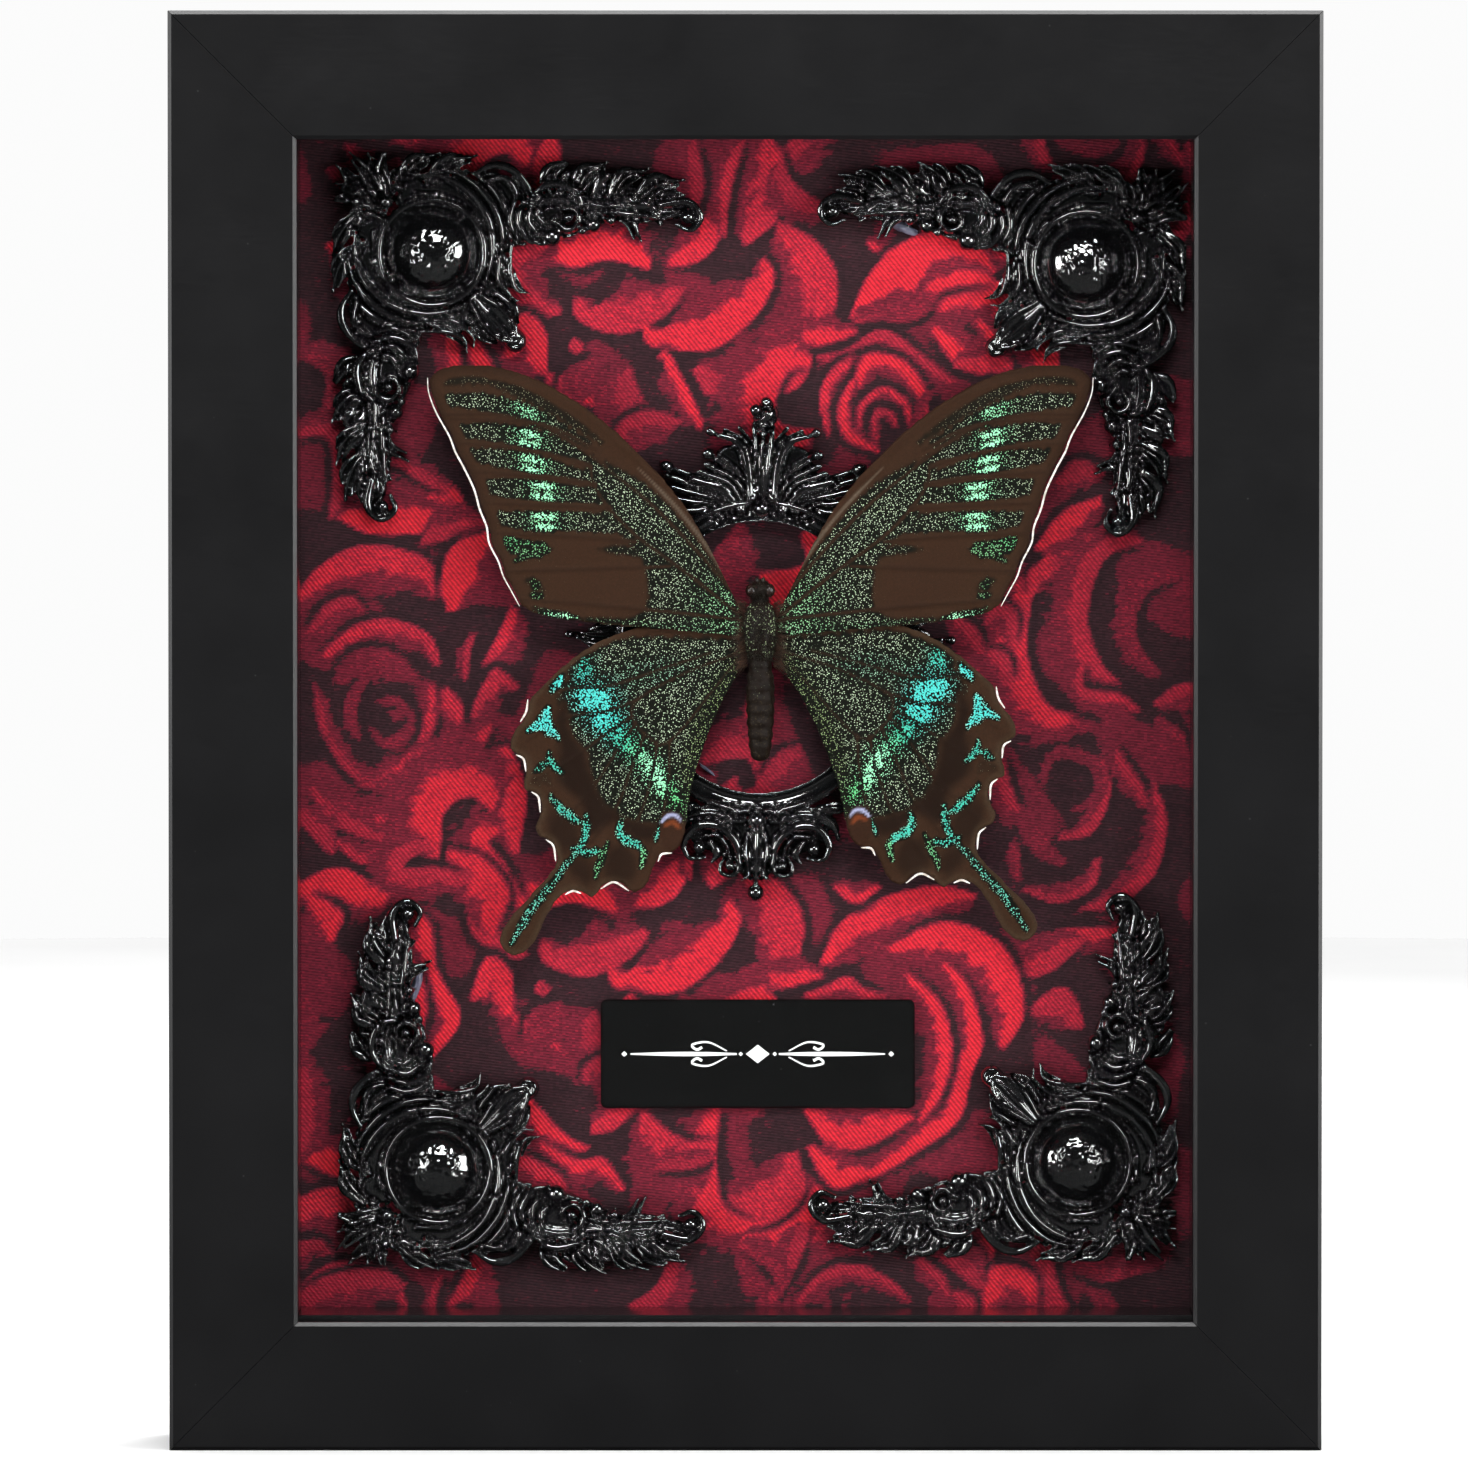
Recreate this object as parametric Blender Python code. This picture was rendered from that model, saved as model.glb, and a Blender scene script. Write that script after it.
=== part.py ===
"""A swallowtail butterfly mounted in a glazed shadow-box frame.

Metres, +Z up. The frame stands on its bottom edge with its front facing -Y. The origin is under the middle
of the object, on the surface that it stands on. Inside the box, "height" means the distance that something
stands proud of the cloth, towards the glass.
"""

import math

import bmesh
import bpy
from mathutils import Matrix, Vector

MM = 0.001

# Driving dimensions.
FRAME_WIDTH = 185 * MM
FRAME_HEIGHT = 231 * MM
FRAME_DEPTH = 34 * MM
RAIL_WIDTH = 20.6 * MM
LIP_WIDTH = 4.5 * MM
LIP_THICKNESS = 3 * MM
FRONT_CHAMFER = 0.6 * MM
BACK_CHAMFER = 0.4 * MM
MITRE_GAP = 0.1 * MM
CLEARANCE = 0.3 * MM

GLASS_THICKNESS = 2 * MM
LINER_DEPTH = 18 * MM
SILL_RISE = 0.8 * MM
CLOTH_THICKNESS = 0.6 * MM
BOARD_THICKNESS = 3 * MM
BACKBOARD_THICKNESS = 2.5 * MM

ORNAMENT_THICKNESS = 4.2 * MM
BOSS_RADIUS = 9 * MM
BOSS_HEIGHT = 7.4 * MM
CARTOUCHE_THICKNESS = 5.6 * MM
OPENING_HALF_WIDTH = 19.2 * MM
OPENING_HALF_HEIGHT = 21.8 * MM
PLATE_WIDTH = 50.8 * MM
PLATE_HEIGHT = 17.6 * MM
PLATE_THICKNESS = 1.6 * MM
PLATE_CORNER = 1 * MM

BODY_HEIGHT = 7.2 * MM
WING_THICKNESS = 0.4 * MM
FOREWING_ROOT_HEIGHT = 7.7 * MM
FOREWING_RISE = 0.028
HINDWING_ROOT_HEIGHT = 6.7 * MM
HINDWING_RISE = 0.02
RIGHT_HINDWING_SPREAD = math.radians(3.2)

POINT_LENGTH = 11 * MM
POINT_WIDTH = 6 * MM
POINT_THICKNESS = 0.5 * MM
POINT_SHOULDER = 5 * MM
POINT_TIP_WIDTH = 2.4 * MM
SIDE_POINT_OFFSET = 46.2 * MM
HANGER_WIDTH = 44 * MM
HANGER_HEIGHT = 9 * MM
HANGER_THICKNESS = 0.8 * MM
HANGER_TEETH = 10
TOOTHED_WIDTH = 26 * MM
TOOTH_DEPTH = 1.6 * MM
HANGER_HOLE_SPACING = 36 * MM
HANGER_HOLE_RADIUS = 1.2 * MM
HANGER_HOLE_RISE = 1 * MM
NAIL_SHANK_RADIUS = 0.8 * MM
NAIL_HEAD_RADIUS = 2.2 * MM
NAIL_HEAD_THICKNESS = 0.6 * MM

# Places in the box, as (x, z) from the middle of the frame.
MIDDLE = Vector((0, 0, FRAME_HEIGHT / 2))
CORNERS = {
    "top_left": (-50.6 * MM, 76.6 * MM, math.radians(1.6)),
    "top_right": (55.0 * MM, 74.7 * MM, math.radians(92.3)),
    "bottom_right": (53.8 * MM, -70.5 * MM, math.radians(180)),
    "bottom_left": (-49.7 * MM, -71.7 * MM, math.radians(272.7)),
}
CARTOUCHE_PLACE = (2.3 * MM, 11.3 * MM)
CARTOUCHE_LEAN = math.radians(0.96)
BUTTERFLY_PLACE = (2.4 * MM, 15.5 * MM)
PLATE_PLACE = (2.0 * MM, -53.0 * MM)

# Depths, worked out from the front of the frame to its back.
HANGER_PROUD = CLEARANCE + HANGER_THICKNESS + CLEARANCE + NAIL_HEAD_THICKNESS
FRONT = -(FRAME_DEPTH + HANGER_PROUD) / 2
BACK = FRONT + FRAME_DEPTH
GLASS_FRONT = FRONT + LIP_THICKNESS + CLEARANCE
LINER_FRONT = GLASS_FRONT + GLASS_THICKNESS + CLEARANCE
CLOTH_FRONT = LINER_FRONT + LINER_DEPTH + CLEARANCE
BOARD_FRONT = CLOTH_FRONT + CLOTH_THICKNESS + CLEARANCE
BACKBOARD_FRONT = BOARD_FRONT + BOARD_THICKNESS + CLEARANCE
BACKBOARD_BACK = BACKBOARD_FRONT + BACKBOARD_THICKNESS

# Half sizes of the hole seen from the front, and of the rebate behind it.
SIGHT = ((FRAME_WIDTH / 2 - RAIL_WIDTH), (FRAME_HEIGHT / 2 - RAIL_WIDTH))
REBATE = (SIGHT[0] + LIP_WIDTH, SIGHT[1] + LIP_WIDTH)

# The corner casting's outline in millimetres, from its outer corner to its inner leaf's point. It runs
# along one arm, and the other arm mirrors it across the diagonal. The boss is at (0, 0).
ORNAMENT_HALF = [
    (-12.6, -12.6), (-9.6, -15.6), (-6.6, -12.4), (1.0, -15.6), (6.2, -15.4), (12.0, -14.4),
    (17.0, -12.0), (22.0, -15.6), (24.4, -12.6), (28.3, -15.2), (31.2, -13.2), (35.0, -14.4),
    (40.2, -13.2), (41.4, -9.8), (43.2, -7.6), (41.2, -5.4), (38.6, -6.8), (36.0, -5.4),
    (33.6, -3.2), (31.4, -6.6), (26.4, -5.4), (20.8, -2.4), (16.4, -1.2), (12.8, 0.6),
    (12.4, 3.6), (16.0, 6.4), (12.6, 8.4), (13.8, 13.8),
]

# The oval casting's right side in millimetres, from its top knob to its lowest ball.
CARTOUCHE_HALF = [
    (0.0, 41.3), (1.6, 40.9), (2.1, 39.4), (1.4, 37.6), (3.0, 37.4), (5.0, 35.6), (8.3, 36.0),
    (6.6, 33.4), (7.5, 31.4), (10.6, 32.4), (10.8, 29.6), (14.2, 31.2), (15.3, 29.6), (13.4, 26.6),
    (15.5, 23.8), (19.0, 20.2), (22.6, 14.5), (24.0, 9.5), (28.5, 6.5), (31.0, 3.2), (29.5, 0.4),
    (25.5, -0.5), (23.6, -7.5), (21.2, -14.5), (17.4, -20.2), (14.5, -23.2), (13.3, -26.4),
    (12.0, -30.0), (9.8, -33.0), (7.6, -31.0), (6.0, -33.5), (4.4, -35.2), (4.4, -36.6),
    (1.6, -36.6), (1.4, -38.6), (0.7, -39.6), (0.0, -39.8),
]

# Wing outlines in millimetres, as (outwards, up) from the middle of the thorax.
FOREWING = [
    (3.8, 4.6), (8.0, 14.0), (13.1, 22.2), (20.0, 29.8), (28.4, 36.8), (36.6, 41.4), (42.5, 43.1),
    (47.6, 43.4), (52.0, 42.6), (53.5, 41.0), (52.3, 36.0), (49.0, 29.2), (45.2, 21.0),
    (43.2, 14.0), (41.2, 8.6), (38.7, 4.4), (33.4, 2.2), (23.0, 0.9), (14.2, 0.4), (3.8, 0.4),
]
HINDWING = [
    (3.8, -0.8), (10.0, 1.4), (17.7, 1.4), (24.4, -0.4), (29.6, -3.3), (34.0, -7.2), (37.4, -10.6),
    (38.5, -13.8), (40.5, -17.4), (39.0, -19.8), (37.8, -22.4), (38.4, -25.0), (36.6, -26.0),
    (35.6, -29.0), (36.3, -32.4), (34.0, -34.0), (33.0, -37.2), (37.8, -43.4), (41.6, -47.6),
    (42.0, -50.6), (40.4, -52.2), (37.8, -51.8), (35.9, -49.4), (34.5, -45.6), (32.2, -42.8),
    (30.0, -41.6), (27.1, -42.5), (24.0, -41.2), (19.9, -42.2), (17.2, -39.6), (15.0, -36.0),
    (12.9, -34.8), (11.9, -30.6), (10.6, -24.4), (8.2, -17.0), (5.6, -10.0), (3.8, -6.0),
]

# The insect's body, as (distance up from the middle of the thorax, radius), from its head to its tail.
BODY_PROFILE = [
    (8.4, 0.0), (8.2, 1.0), (7.2, 2.0), (6.0, 2.2), (4.9, 1.7), (4.0, 2.5), (1.5, 3.0), (-2.0, 2.9),
    (-4.4, 2.3), (-5.2, 2.2), (-9.0, 2.3), (-13.0, 2.2), (-16.5, 1.7), (-19.0, 0.9), (-20.4, 0.0),
]
BODY_SIDES = 16


def clear_scene():
    for old in list(bpy.data.objects):
        bpy.data.objects.remove(old)


def make_material(name, colour, roughness, metallic=0.0):
    material = bpy.data.materials.new(name)
    material.use_nodes = True
    shader = material.node_tree.nodes["Principled BSDF"]
    shader.inputs["Base Color"].default_value = (*colour, 1.0)
    shader.inputs["Roughness"].default_value = roughness
    shader.inputs["Metallic"].default_value = metallic
    return material


def add_object(name, mesh, material, place=(0, 0, 0), turn=0.0):
    """Adds the mesh at a place, turned clockwise about Y as seen from the front."""
    part = bpy.data.objects.new(name, mesh)
    bpy.context.scene.collection.objects.link(part)
    if not mesh.materials:
        mesh.materials.append(material)
    part.location = place
    part.rotation_euler = (0, turn, 0)
    return part


def finish_mesh(bm, name):
    """Turns the faces outwards and gives the mesh."""
    bmesh.ops.recalc_face_normals(bm, faces=bm.faces)
    mesh = bpy.data.meshes.new(name)
    bm.to_mesh(mesh)
    bm.free()
    return mesh


def prism(name, outline, front, back):
    """A flat solid with an outline of (x, z) points, from the depth front to the depth back."""
    bm = bmesh.new()
    base = bm.faces.new([bm.verts.new((x, front, z)) for x, z in outline])
    grown = bmesh.ops.extrude_face_region(bm, geom=[base])["geom"]
    moved = [v for v in grown if isinstance(v, bmesh.types.BMVert)]
    bmesh.ops.translate(bm, verts=moved, vec=(0, back - front, 0))
    return finish_mesh(bm, name)


def rectangle(half_width, half_height):
    return [
        (-half_width, -half_height),
        (half_width, -half_height),
        (half_width, half_height),
        (-half_width, half_height),
    ]


def rounded_rectangle(half_width, half_height, radius, steps=4):
    points = []
    for quarter, (sx, sz) in enumerate([(1, 1), (-1, 1), (-1, -1), (1, -1)]):
        for step in range(steps + 1):
            angle = math.radians(90) * (quarter + step / steps)
            x = sx * (half_width - radius) + radius * math.cos(angle)
            z = sz * (half_height - radius) + radius * math.sin(angle)
            points.append((x, z))
    return points


def scaled(points):
    return [(x * MM, z * MM) for x, z in points]


def soften(part, width, segments=1):
    bevel = part.modifiers.new("edges", "BEVEL")
    bevel.width = width
    bevel.segments = segments
    bevel.limit_method = "ANGLE"
    bevel.angle_limit = math.radians(40)
    return part


# ---- the frame ----


def rail_mesh(name, length):
    """A mitred rail along X, with its outer edge at z = 0 and its inner edge up."""
    profile = [
        (FRONT_CHAMFER, 0),
        (RAIL_WIDTH - FRONT_CHAMFER, 0),
        (RAIL_WIDTH, FRONT_CHAMFER),
        (RAIL_WIDTH, LIP_THICKNESS),
        (RAIL_WIDTH - LIP_WIDTH, LIP_THICKNESS),
        (RAIL_WIDTH - LIP_WIDTH, FRAME_DEPTH),
        (BACK_CHAMFER, FRAME_DEPTH),
        (0, FRAME_DEPTH - BACK_CHAMFER),
        (0, FRONT_CHAMFER),
    ]
    bm = bmesh.new()
    ends = []
    for side in (-1, 1):
        ring = []
        for inward, depth in profile:
            reach = length / 2 - MITRE_GAP / 2 - inward
            ring.append(bm.verts.new((side * reach, FRONT + depth, inward)))
        ends.append(ring)
        bm.faces.new(ring)
    for i in range(len(profile)):
        j = (i + 1) % len(profile)
        bm.faces.new((ends[0][i], ends[0][j], ends[1][j], ends[1][i]))
    return finish_mesh(bm, name)


def make_frame(black):
    rails = {
        "bottom": (FRAME_WIDTH, (0, 0, 0), 0),
        "left": (FRAME_HEIGHT, (-FRAME_WIDTH / 2, 0, FRAME_HEIGHT / 2), 90),
        "top": (FRAME_WIDTH, (0, 0, FRAME_HEIGHT), 180),
        "right": (FRAME_HEIGHT, (FRAME_WIDTH / 2, 0, FRAME_HEIGHT / 2), 270),
    }
    for side, (length, place, turn) in rails.items():
        name = f"frame_rail_{side}"
        add_object(name, rail_mesh(name, length), black, place, math.radians(turn))


def make_liners(gloss):
    """Four strips behind the glass. The bottom one stands a little above the lip, like a sill."""
    outer_x = REBATE[0] - CLEARANCE
    outer_z = REBATE[1] - CLEARANCE
    sill = -SIGHT[1] + SILL_RISE
    boxes = {
        "top": ((-outer_x, outer_x), (SIGHT[1], outer_z)),
        "bottom": ((-outer_x, outer_x), (-outer_z, sill)),
        "left": ((-outer_x, -SIGHT[0]), (sill + CLEARANCE, SIGHT[1] - CLEARANCE)),
        "right": ((SIGHT[0], outer_x), (sill + CLEARANCE, SIGHT[1] - CLEARANCE)),
    }
    for side, ((x0, x1), (z0, z1)) in boxes.items():
        name = f"liner_{side}"
        outline = [(x0, z0), (x1, z0), (x1, z1), (x0, z1)]
        mesh = prism(name, outline, LINER_FRONT, LINER_FRONT + LINER_DEPTH)
        add_object(name, mesh, gloss, MIDDLE)


def make_panels(glass, board, cloth, fibreboard):
    panels = [
        ("glass_pane", glass, GLASS_FRONT, GLASS_THICKNESS),
        ("rose_fabric", cloth, CLOTH_FRONT, CLOTH_THICKNESS),
        ("mount_board", board, BOARD_FRONT, BOARD_THICKNESS),
        ("backboard", fibreboard, BACKBOARD_FRONT, BACKBOARD_THICKNESS),
    ]
    outline = rectangle(REBATE[0] - CLEARANCE, REBATE[1] - CLEARANCE)
    for name, material, front, thickness in panels:
        add_object(name, prism(name, outline, front, front + thickness), material, MIDDLE)


# ---- the castings and the plate ----


def at_height(height):
    """The depth of something that stands this far proud of the cloth."""
    return CLOTH_FRONT - height


def ornament_mesh():
    """One corner casting: a leafy bracket, with a domed boss on it."""
    half = [(a * MM, -b * MM) for a, b in ORNAMENT_HALF]
    mirrored = [(-z, -x) for x, z in reversed(half[1:-1])]
    base = prism("ornament", half + mirrored, at_height(ORNAMENT_THICKNESS), at_height(CLEARANCE))
    bm = bmesh.new()
    rise = BOSS_HEIGHT - CLEARANCE
    bmesh.ops.create_uvsphere(bm, u_segments=20, v_segments=10, radius=1)
    below = [v for v in bm.verts if v.co.z < -0.01]
    bmesh.ops.delete(bm, geom=below, context="VERTS")
    rim = [e for e in bm.edges if e.is_boundary]
    bmesh.ops.contextual_create(bm, geom=rim)
    stand = Matrix.Rotation(math.radians(90), 4, "X")
    flatten = Matrix.Diagonal((BOSS_RADIUS, BOSS_RADIUS, rise, 1))
    move = Matrix.Translation((0, at_height(CLEARANCE), 0))
    bmesh.ops.transform(bm, matrix=move @ stand @ flatten, verts=bm.verts)
    dome = finish_mesh(bm, "boss")
    return base, dome


def make_ornaments(resin):
    base, dome = ornament_mesh()
    for corner, (x, z, turn) in CORNERS.items():
        place = MIDDLE + Vector((x, 0, z))
        boss = add_object(f"boss_{corner}", dome, resin, place, turn)
        boss.hide_render = True
        boss.display_type = "WIRE"
        part = add_object(f"corner_ornament_{corner}", base, resin, place, turn)
        join = part.modifiers.new("boss", "BOOLEAN")
        join.operation = "UNION"
        join.object = boss


def make_cartouche(resin):
    """A plate with an oval hole, cut to the casting's leafy outline."""
    right = [(u * MM, v * MM) for u, v in CARTOUCHE_HALF]
    left = [(-u, v) for u, v in reversed(right[1:-1])]
    steps = 48
    oval = []
    for step in range(steps):
        angle = 2 * math.pi * step / steps
        oval.append((OPENING_HALF_WIDTH * math.sin(angle), OPENING_HALF_HEIGHT * math.cos(angle)))
    front = at_height(CARTOUCHE_THICKNESS)
    bm = bmesh.new()
    edges = []
    for loop in (right + left, oval):
        ring = [bm.verts.new((u, front, v)) for u, v in loop]
        edges += [bm.edges.new((ring[i - 1], ring[i])) for i in range(len(ring))]
    bmesh.ops.triangle_fill(bm, use_beauty=True, edges=edges)
    grown = bmesh.ops.extrude_face_region(bm, geom=bm.faces[:])["geom"]
    moved = [v for v in grown if isinstance(v, bmesh.types.BMVert)]
    bmesh.ops.translate(bm, verts=moved, vec=(0, CARTOUCHE_THICKNESS - CLEARANCE, 0))
    place = MIDDLE + Vector((CARTOUCHE_PLACE[0], 0, CARTOUCHE_PLACE[1]))
    add_object("oval_cartouche", finish_mesh(bm, "oval_cartouche"), resin, place, CARTOUCHE_LEAN)


def make_nameplate(plastic):
    outline = rounded_rectangle(PLATE_WIDTH / 2, PLATE_HEIGHT / 2, PLATE_CORNER)
    front = at_height(CLEARANCE + PLATE_THICKNESS)
    place = MIDDLE + Vector((PLATE_PLACE[0], 0, PLATE_PLACE[1]))
    mesh = prism("nameplate", outline, front, at_height(CLEARANCE))
    soften(add_object("nameplate", mesh, plastic, place), 0.3 * MM)


# ---- the butterfly ----


def turned(points, angle):
    """The points turned outwards and up about the middle of the thorax."""
    c, s = math.cos(angle), math.sin(angle)
    return [(u * c - v * s, u * s + v * c) for u, v in points]


def wing_mesh(name, points, side, root_height, rise):
    """A thin plate that climbs away from the body. side is 1 for the wing at +X, and -1 for the other."""
    bm = bmesh.new()
    skin = bm.faces.new([bm.verts.new((side * u, -root_height - rise * u, v)) for u, v in points])
    grown = bmesh.ops.extrude_face_region(bm, geom=[skin])["geom"]
    moved = [v for v in grown if isinstance(v, bmesh.types.BMVert)]
    bmesh.ops.translate(bm, verts=moved, vec=(0, WING_THICKNESS, 0))
    return finish_mesh(bm, name)


def make_wings(scales):
    place = MIDDLE + Vector((BUTTERFLY_PLACE[0], CLOTH_FRONT, BUTTERFLY_PLACE[1]))
    hind = scaled(HINDWING)
    spread = turned(hind, RIGHT_HINDWING_SPREAD)
    wings = [
        ("forewing_left", scaled(FOREWING), -1, FOREWING_ROOT_HEIGHT, FOREWING_RISE),
        ("forewing_right", scaled(FOREWING), 1, FOREWING_ROOT_HEIGHT, FOREWING_RISE),
        ("hindwing_left", hind, -1, HINDWING_ROOT_HEIGHT, HINDWING_RISE),
        ("hindwing_right", spread, 1, HINDWING_ROOT_HEIGHT, HINDWING_RISE),
    ]
    for name, points, side, height, rise in wings:
        add_object(name, wing_mesh(name, points, side, height, rise), scales, place)


def make_body(skin):
    """Head, thorax and abdomen, turned about one axis."""
    bm = bmesh.new()
    profile = [bm.verts.new((r * MM, 0, v * MM)) for v, r in BODY_PROFILE]
    edges = [bm.edges.new(pair) for pair in zip(profile, profile[1:])]
    bmesh.ops.spin(
        bm, geom=profile + edges, axis=(0, 0, 1), cent=(0, 0, 0),
        angle=2 * math.pi, steps=BODY_SIDES, use_merge=True,
    )
    bmesh.ops.remove_doubles(bm, verts=bm.verts, dist=0.005 * MM)
    place = MIDDLE + Vector((BUTTERFLY_PLACE[0], at_height(BODY_HEIGHT), BUTTERFLY_PLACE[1]))
    part = add_object("butterfly_body", finish_mesh(bm, "butterfly_body"), skin, place)
    part.data.shade_smooth()


# ---- what holds the back in, and what it hangs on ----


def make_points(steel):
    """Flat metal points that are pressed into the rebate's walls, over the backboard."""
    outline = [
        (-POINT_WIDTH / 2, 0),
        (POINT_WIDTH / 2, 0),
        (POINT_WIDTH / 2, POINT_SHOULDER),
        (POINT_TIP_WIDTH / 2, POINT_LENGTH),
        (-POINT_TIP_WIDTH / 2, POINT_LENGTH),
        (-POINT_WIDTH / 2, POINT_SHOULDER),
    ]
    front = BACKBOARD_BACK + CLEARANCE
    mesh = prism("frame_point", outline, front, front + POINT_THICKNESS)
    reach_x = REBATE[0] - CLEARANCE
    reach_z = REBATE[1] - CLEARANCE
    places = {
        "bottom": (0, -reach_z, 0),
        "top": (0, reach_z, 180),
        "left_low": (-reach_x, -SIDE_POINT_OFFSET, 90),
        "left_high": (-reach_x, SIDE_POINT_OFFSET, 90),
        "right_low": (reach_x, -SIDE_POINT_OFFSET, 270),
        "right_high": (reach_x, SIDE_POINT_OFFSET, 270),
    }
    for where, (x, z, turn) in places.items():
        place = MIDDLE + Vector((x, 0, z))
        add_object(f"frame_point_{where}", mesh, steel, place, math.radians(turn))


def make_hanger(steel):
    """A strip with saw teeth along its lower edge, on the back of the top rail, and its two nails."""
    half = HANGER_WIDTH / 2
    low, valley = -HANGER_HEIGHT / 2, TOOTH_DEPTH - HANGER_HEIGHT / 2
    pitch = TOOTHED_WIDTH / HANGER_TEETH
    outline = [(half, low), (half, -low), (-half, -low), (-half, low), (-TOOTHED_WIDTH / 2, low)]
    for tooth in range(HANGER_TEETH):
        start = pitch * tooth - TOOTHED_WIDTH / 2
        outline.append((start + pitch / 2, valley))
        outline.append((start + pitch, low))
    place = Vector((0, 0, FRAME_HEIGHT - RAIL_WIDTH / 2 + LIP_WIDTH / 2))
    front = BACK + CLEARANCE
    mesh = prism("sawtooth_hanger", outline, front, front + HANGER_THICKNESS)
    hanger = add_object("sawtooth_hanger", mesh, steel, place)
    for side, sign in (("left", -1), ("right", 1)):
        hole_place = place + Vector((sign * HANGER_HOLE_SPACING / 2, 0, HANGER_HOLE_RISE))
        cutter = disc_mesh(HANGER_HOLE_RADIUS, BACK, front + 2 * HANGER_THICKNESS)
        hole = add_object(f"hole_{side}", cutter, steel, hole_place)
        hole.hide_render = True
        hole.display_type = "WIRE"
        cut = hanger.modifiers.new(f"hole_{side}", "BOOLEAN")
        cut.object = hole
        add_object(f"hanger_nail_{side}", nail_mesh(), steel, hole_place)


def ring_of(bm, radius, depth, sides=16):
    ring = []
    for step in range(sides):
        angle = 2 * math.pi * step / sides
        ring.append(bm.verts.new((radius * math.cos(angle), depth, radius * math.sin(angle))))
    return ring


def stacked_rings(name, rings):
    """A round solid about Y, from (radius, depth) steps."""
    bm = bmesh.new()
    loops = [ring_of(bm, radius, depth) for radius, depth in rings]
    for first, second in zip(loops, loops[1:]):
        for i in range(len(first)):
            bm.faces.new((first[i - 1], first[i], second[i], second[i - 1]))
    bm.faces.new(loops[0])
    bm.faces.new(loops[-1])
    return finish_mesh(bm, name)


def disc_mesh(radius, front, back):
    return stacked_rings("disc", [(radius, front), (radius, back)])


def nail_mesh():
    """A nail's shank in the hanger's hole, under its flat head."""
    under_head = BACK + HANGER_PROUD - NAIL_HEAD_THICKNESS
    return stacked_rings(
        "hanger_nail",
        [
            (NAIL_SHANK_RADIUS, BACK + CLEARANCE),
            (NAIL_SHANK_RADIUS, under_head),
            (NAIL_HEAD_RADIUS, under_head),
            (NAIL_HEAD_RADIUS, under_head + NAIL_HEAD_THICKNESS / 2),
            (NAIL_HEAD_RADIUS * 0.8, under_head + NAIL_HEAD_THICKNESS),
        ],
    )


def main():
    clear_scene()
    black = make_material("frame_black", (0.012, 0.012, 0.013), 0.45)
    gloss = make_material("liner_black", (0.01, 0.01, 0.011), 0.15)
    resin = make_material("black_resin", (0.008, 0.008, 0.009), 0.18)
    plastic = make_material("plate_black", (0.015, 0.015, 0.016), 0.4)
    glass = make_material("glass", (0.9, 0.95, 0.93), 0.02)
    cloth = make_material("rose_cloth", (0.35, 0.01, 0.03), 0.6)
    board = make_material("mount_board", (0.7, 0.68, 0.62), 0.8)
    fibreboard = make_material("fibreboard", (0.12, 0.07, 0.04), 0.8)
    scales = make_material("wing_scales", (0.05, 0.035, 0.02), 0.6)
    skin = make_material("body_hair", (0.04, 0.025, 0.018), 0.5)
    steel = make_material("steel", (0.6, 0.6, 0.6), 0.35, metallic=1.0)

    make_frame(black)
    make_liners(gloss)
    make_panels(glass, board, cloth, fibreboard)
    make_ornaments(resin)
    make_cartouche(resin)
    make_nameplate(plastic)
    make_wings(scales)
    make_body(skin)
    make_points(steel)
    make_hanger(steel)


main()
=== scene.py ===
"""The looks of a swallowtail butterfly mounted over rose cloth in a glazed black shadow-box frame.

Lengths in the lists and the drawing code are millimetres, and meshes are made in metres. Inside the box,
"height" means the distance that something stands proud of the cloth, towards the glass.
"""

import copy
import math

import bmesh
import bpy
import numpy as np
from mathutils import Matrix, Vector


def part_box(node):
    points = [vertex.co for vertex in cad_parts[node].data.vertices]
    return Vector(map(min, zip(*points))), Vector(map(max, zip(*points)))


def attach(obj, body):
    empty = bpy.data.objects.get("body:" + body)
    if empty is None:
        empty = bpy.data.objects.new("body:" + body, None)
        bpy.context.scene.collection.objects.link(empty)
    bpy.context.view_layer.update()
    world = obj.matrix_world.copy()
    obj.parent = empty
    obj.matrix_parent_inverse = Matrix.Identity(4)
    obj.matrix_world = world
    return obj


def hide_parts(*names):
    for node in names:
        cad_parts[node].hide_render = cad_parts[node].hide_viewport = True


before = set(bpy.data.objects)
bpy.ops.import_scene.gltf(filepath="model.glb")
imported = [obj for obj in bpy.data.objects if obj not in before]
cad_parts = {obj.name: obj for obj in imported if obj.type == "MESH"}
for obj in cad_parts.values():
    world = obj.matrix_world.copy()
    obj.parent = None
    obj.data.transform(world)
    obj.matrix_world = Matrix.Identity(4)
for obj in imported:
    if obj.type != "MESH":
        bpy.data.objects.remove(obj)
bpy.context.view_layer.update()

MM = 0.001
BODY = "root"

# What the frame gives: its middle, the depth of the cloth's face, and the hole seen from the front.
LOW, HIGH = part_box("glass_pane")
MIDDLE = (LOW + HIGH) / 2
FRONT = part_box("frame_rail_top")[0].y
CLOTH_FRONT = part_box("rose_fabric")[0].y
CLOTH_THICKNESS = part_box("rose_fabric")[1].y - CLOTH_FRONT
CLOTH_WIDTH = HIGH.x - LOW.x
CLOTH_HEIGHT = HIGH.z - LOW.z

# Places in the box, as (x, z) from its middle, and a turn clockwise as seen from the front.
CORNERS = {
    "top_left": (-50.6, 76.6, 1.6),
    "top_right": (55.0, 74.7, 92.3),
    "bottom_right": (53.8, -70.5, 180.0),
    "bottom_left": (-49.7, -71.7, 272.7),
}
CARTOUCHE_PLACE = (2.3, 11.3)
CARTOUCHE_LEAN = 0.96
BUTTERFLY_PLACE = (2.4, 15.5)
RIGHT_HINDWING_SPREAD = 3.2
PLATE_PLACE = (2.0, -53.0)
PLATE_HEIGHT = 1.9

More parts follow.
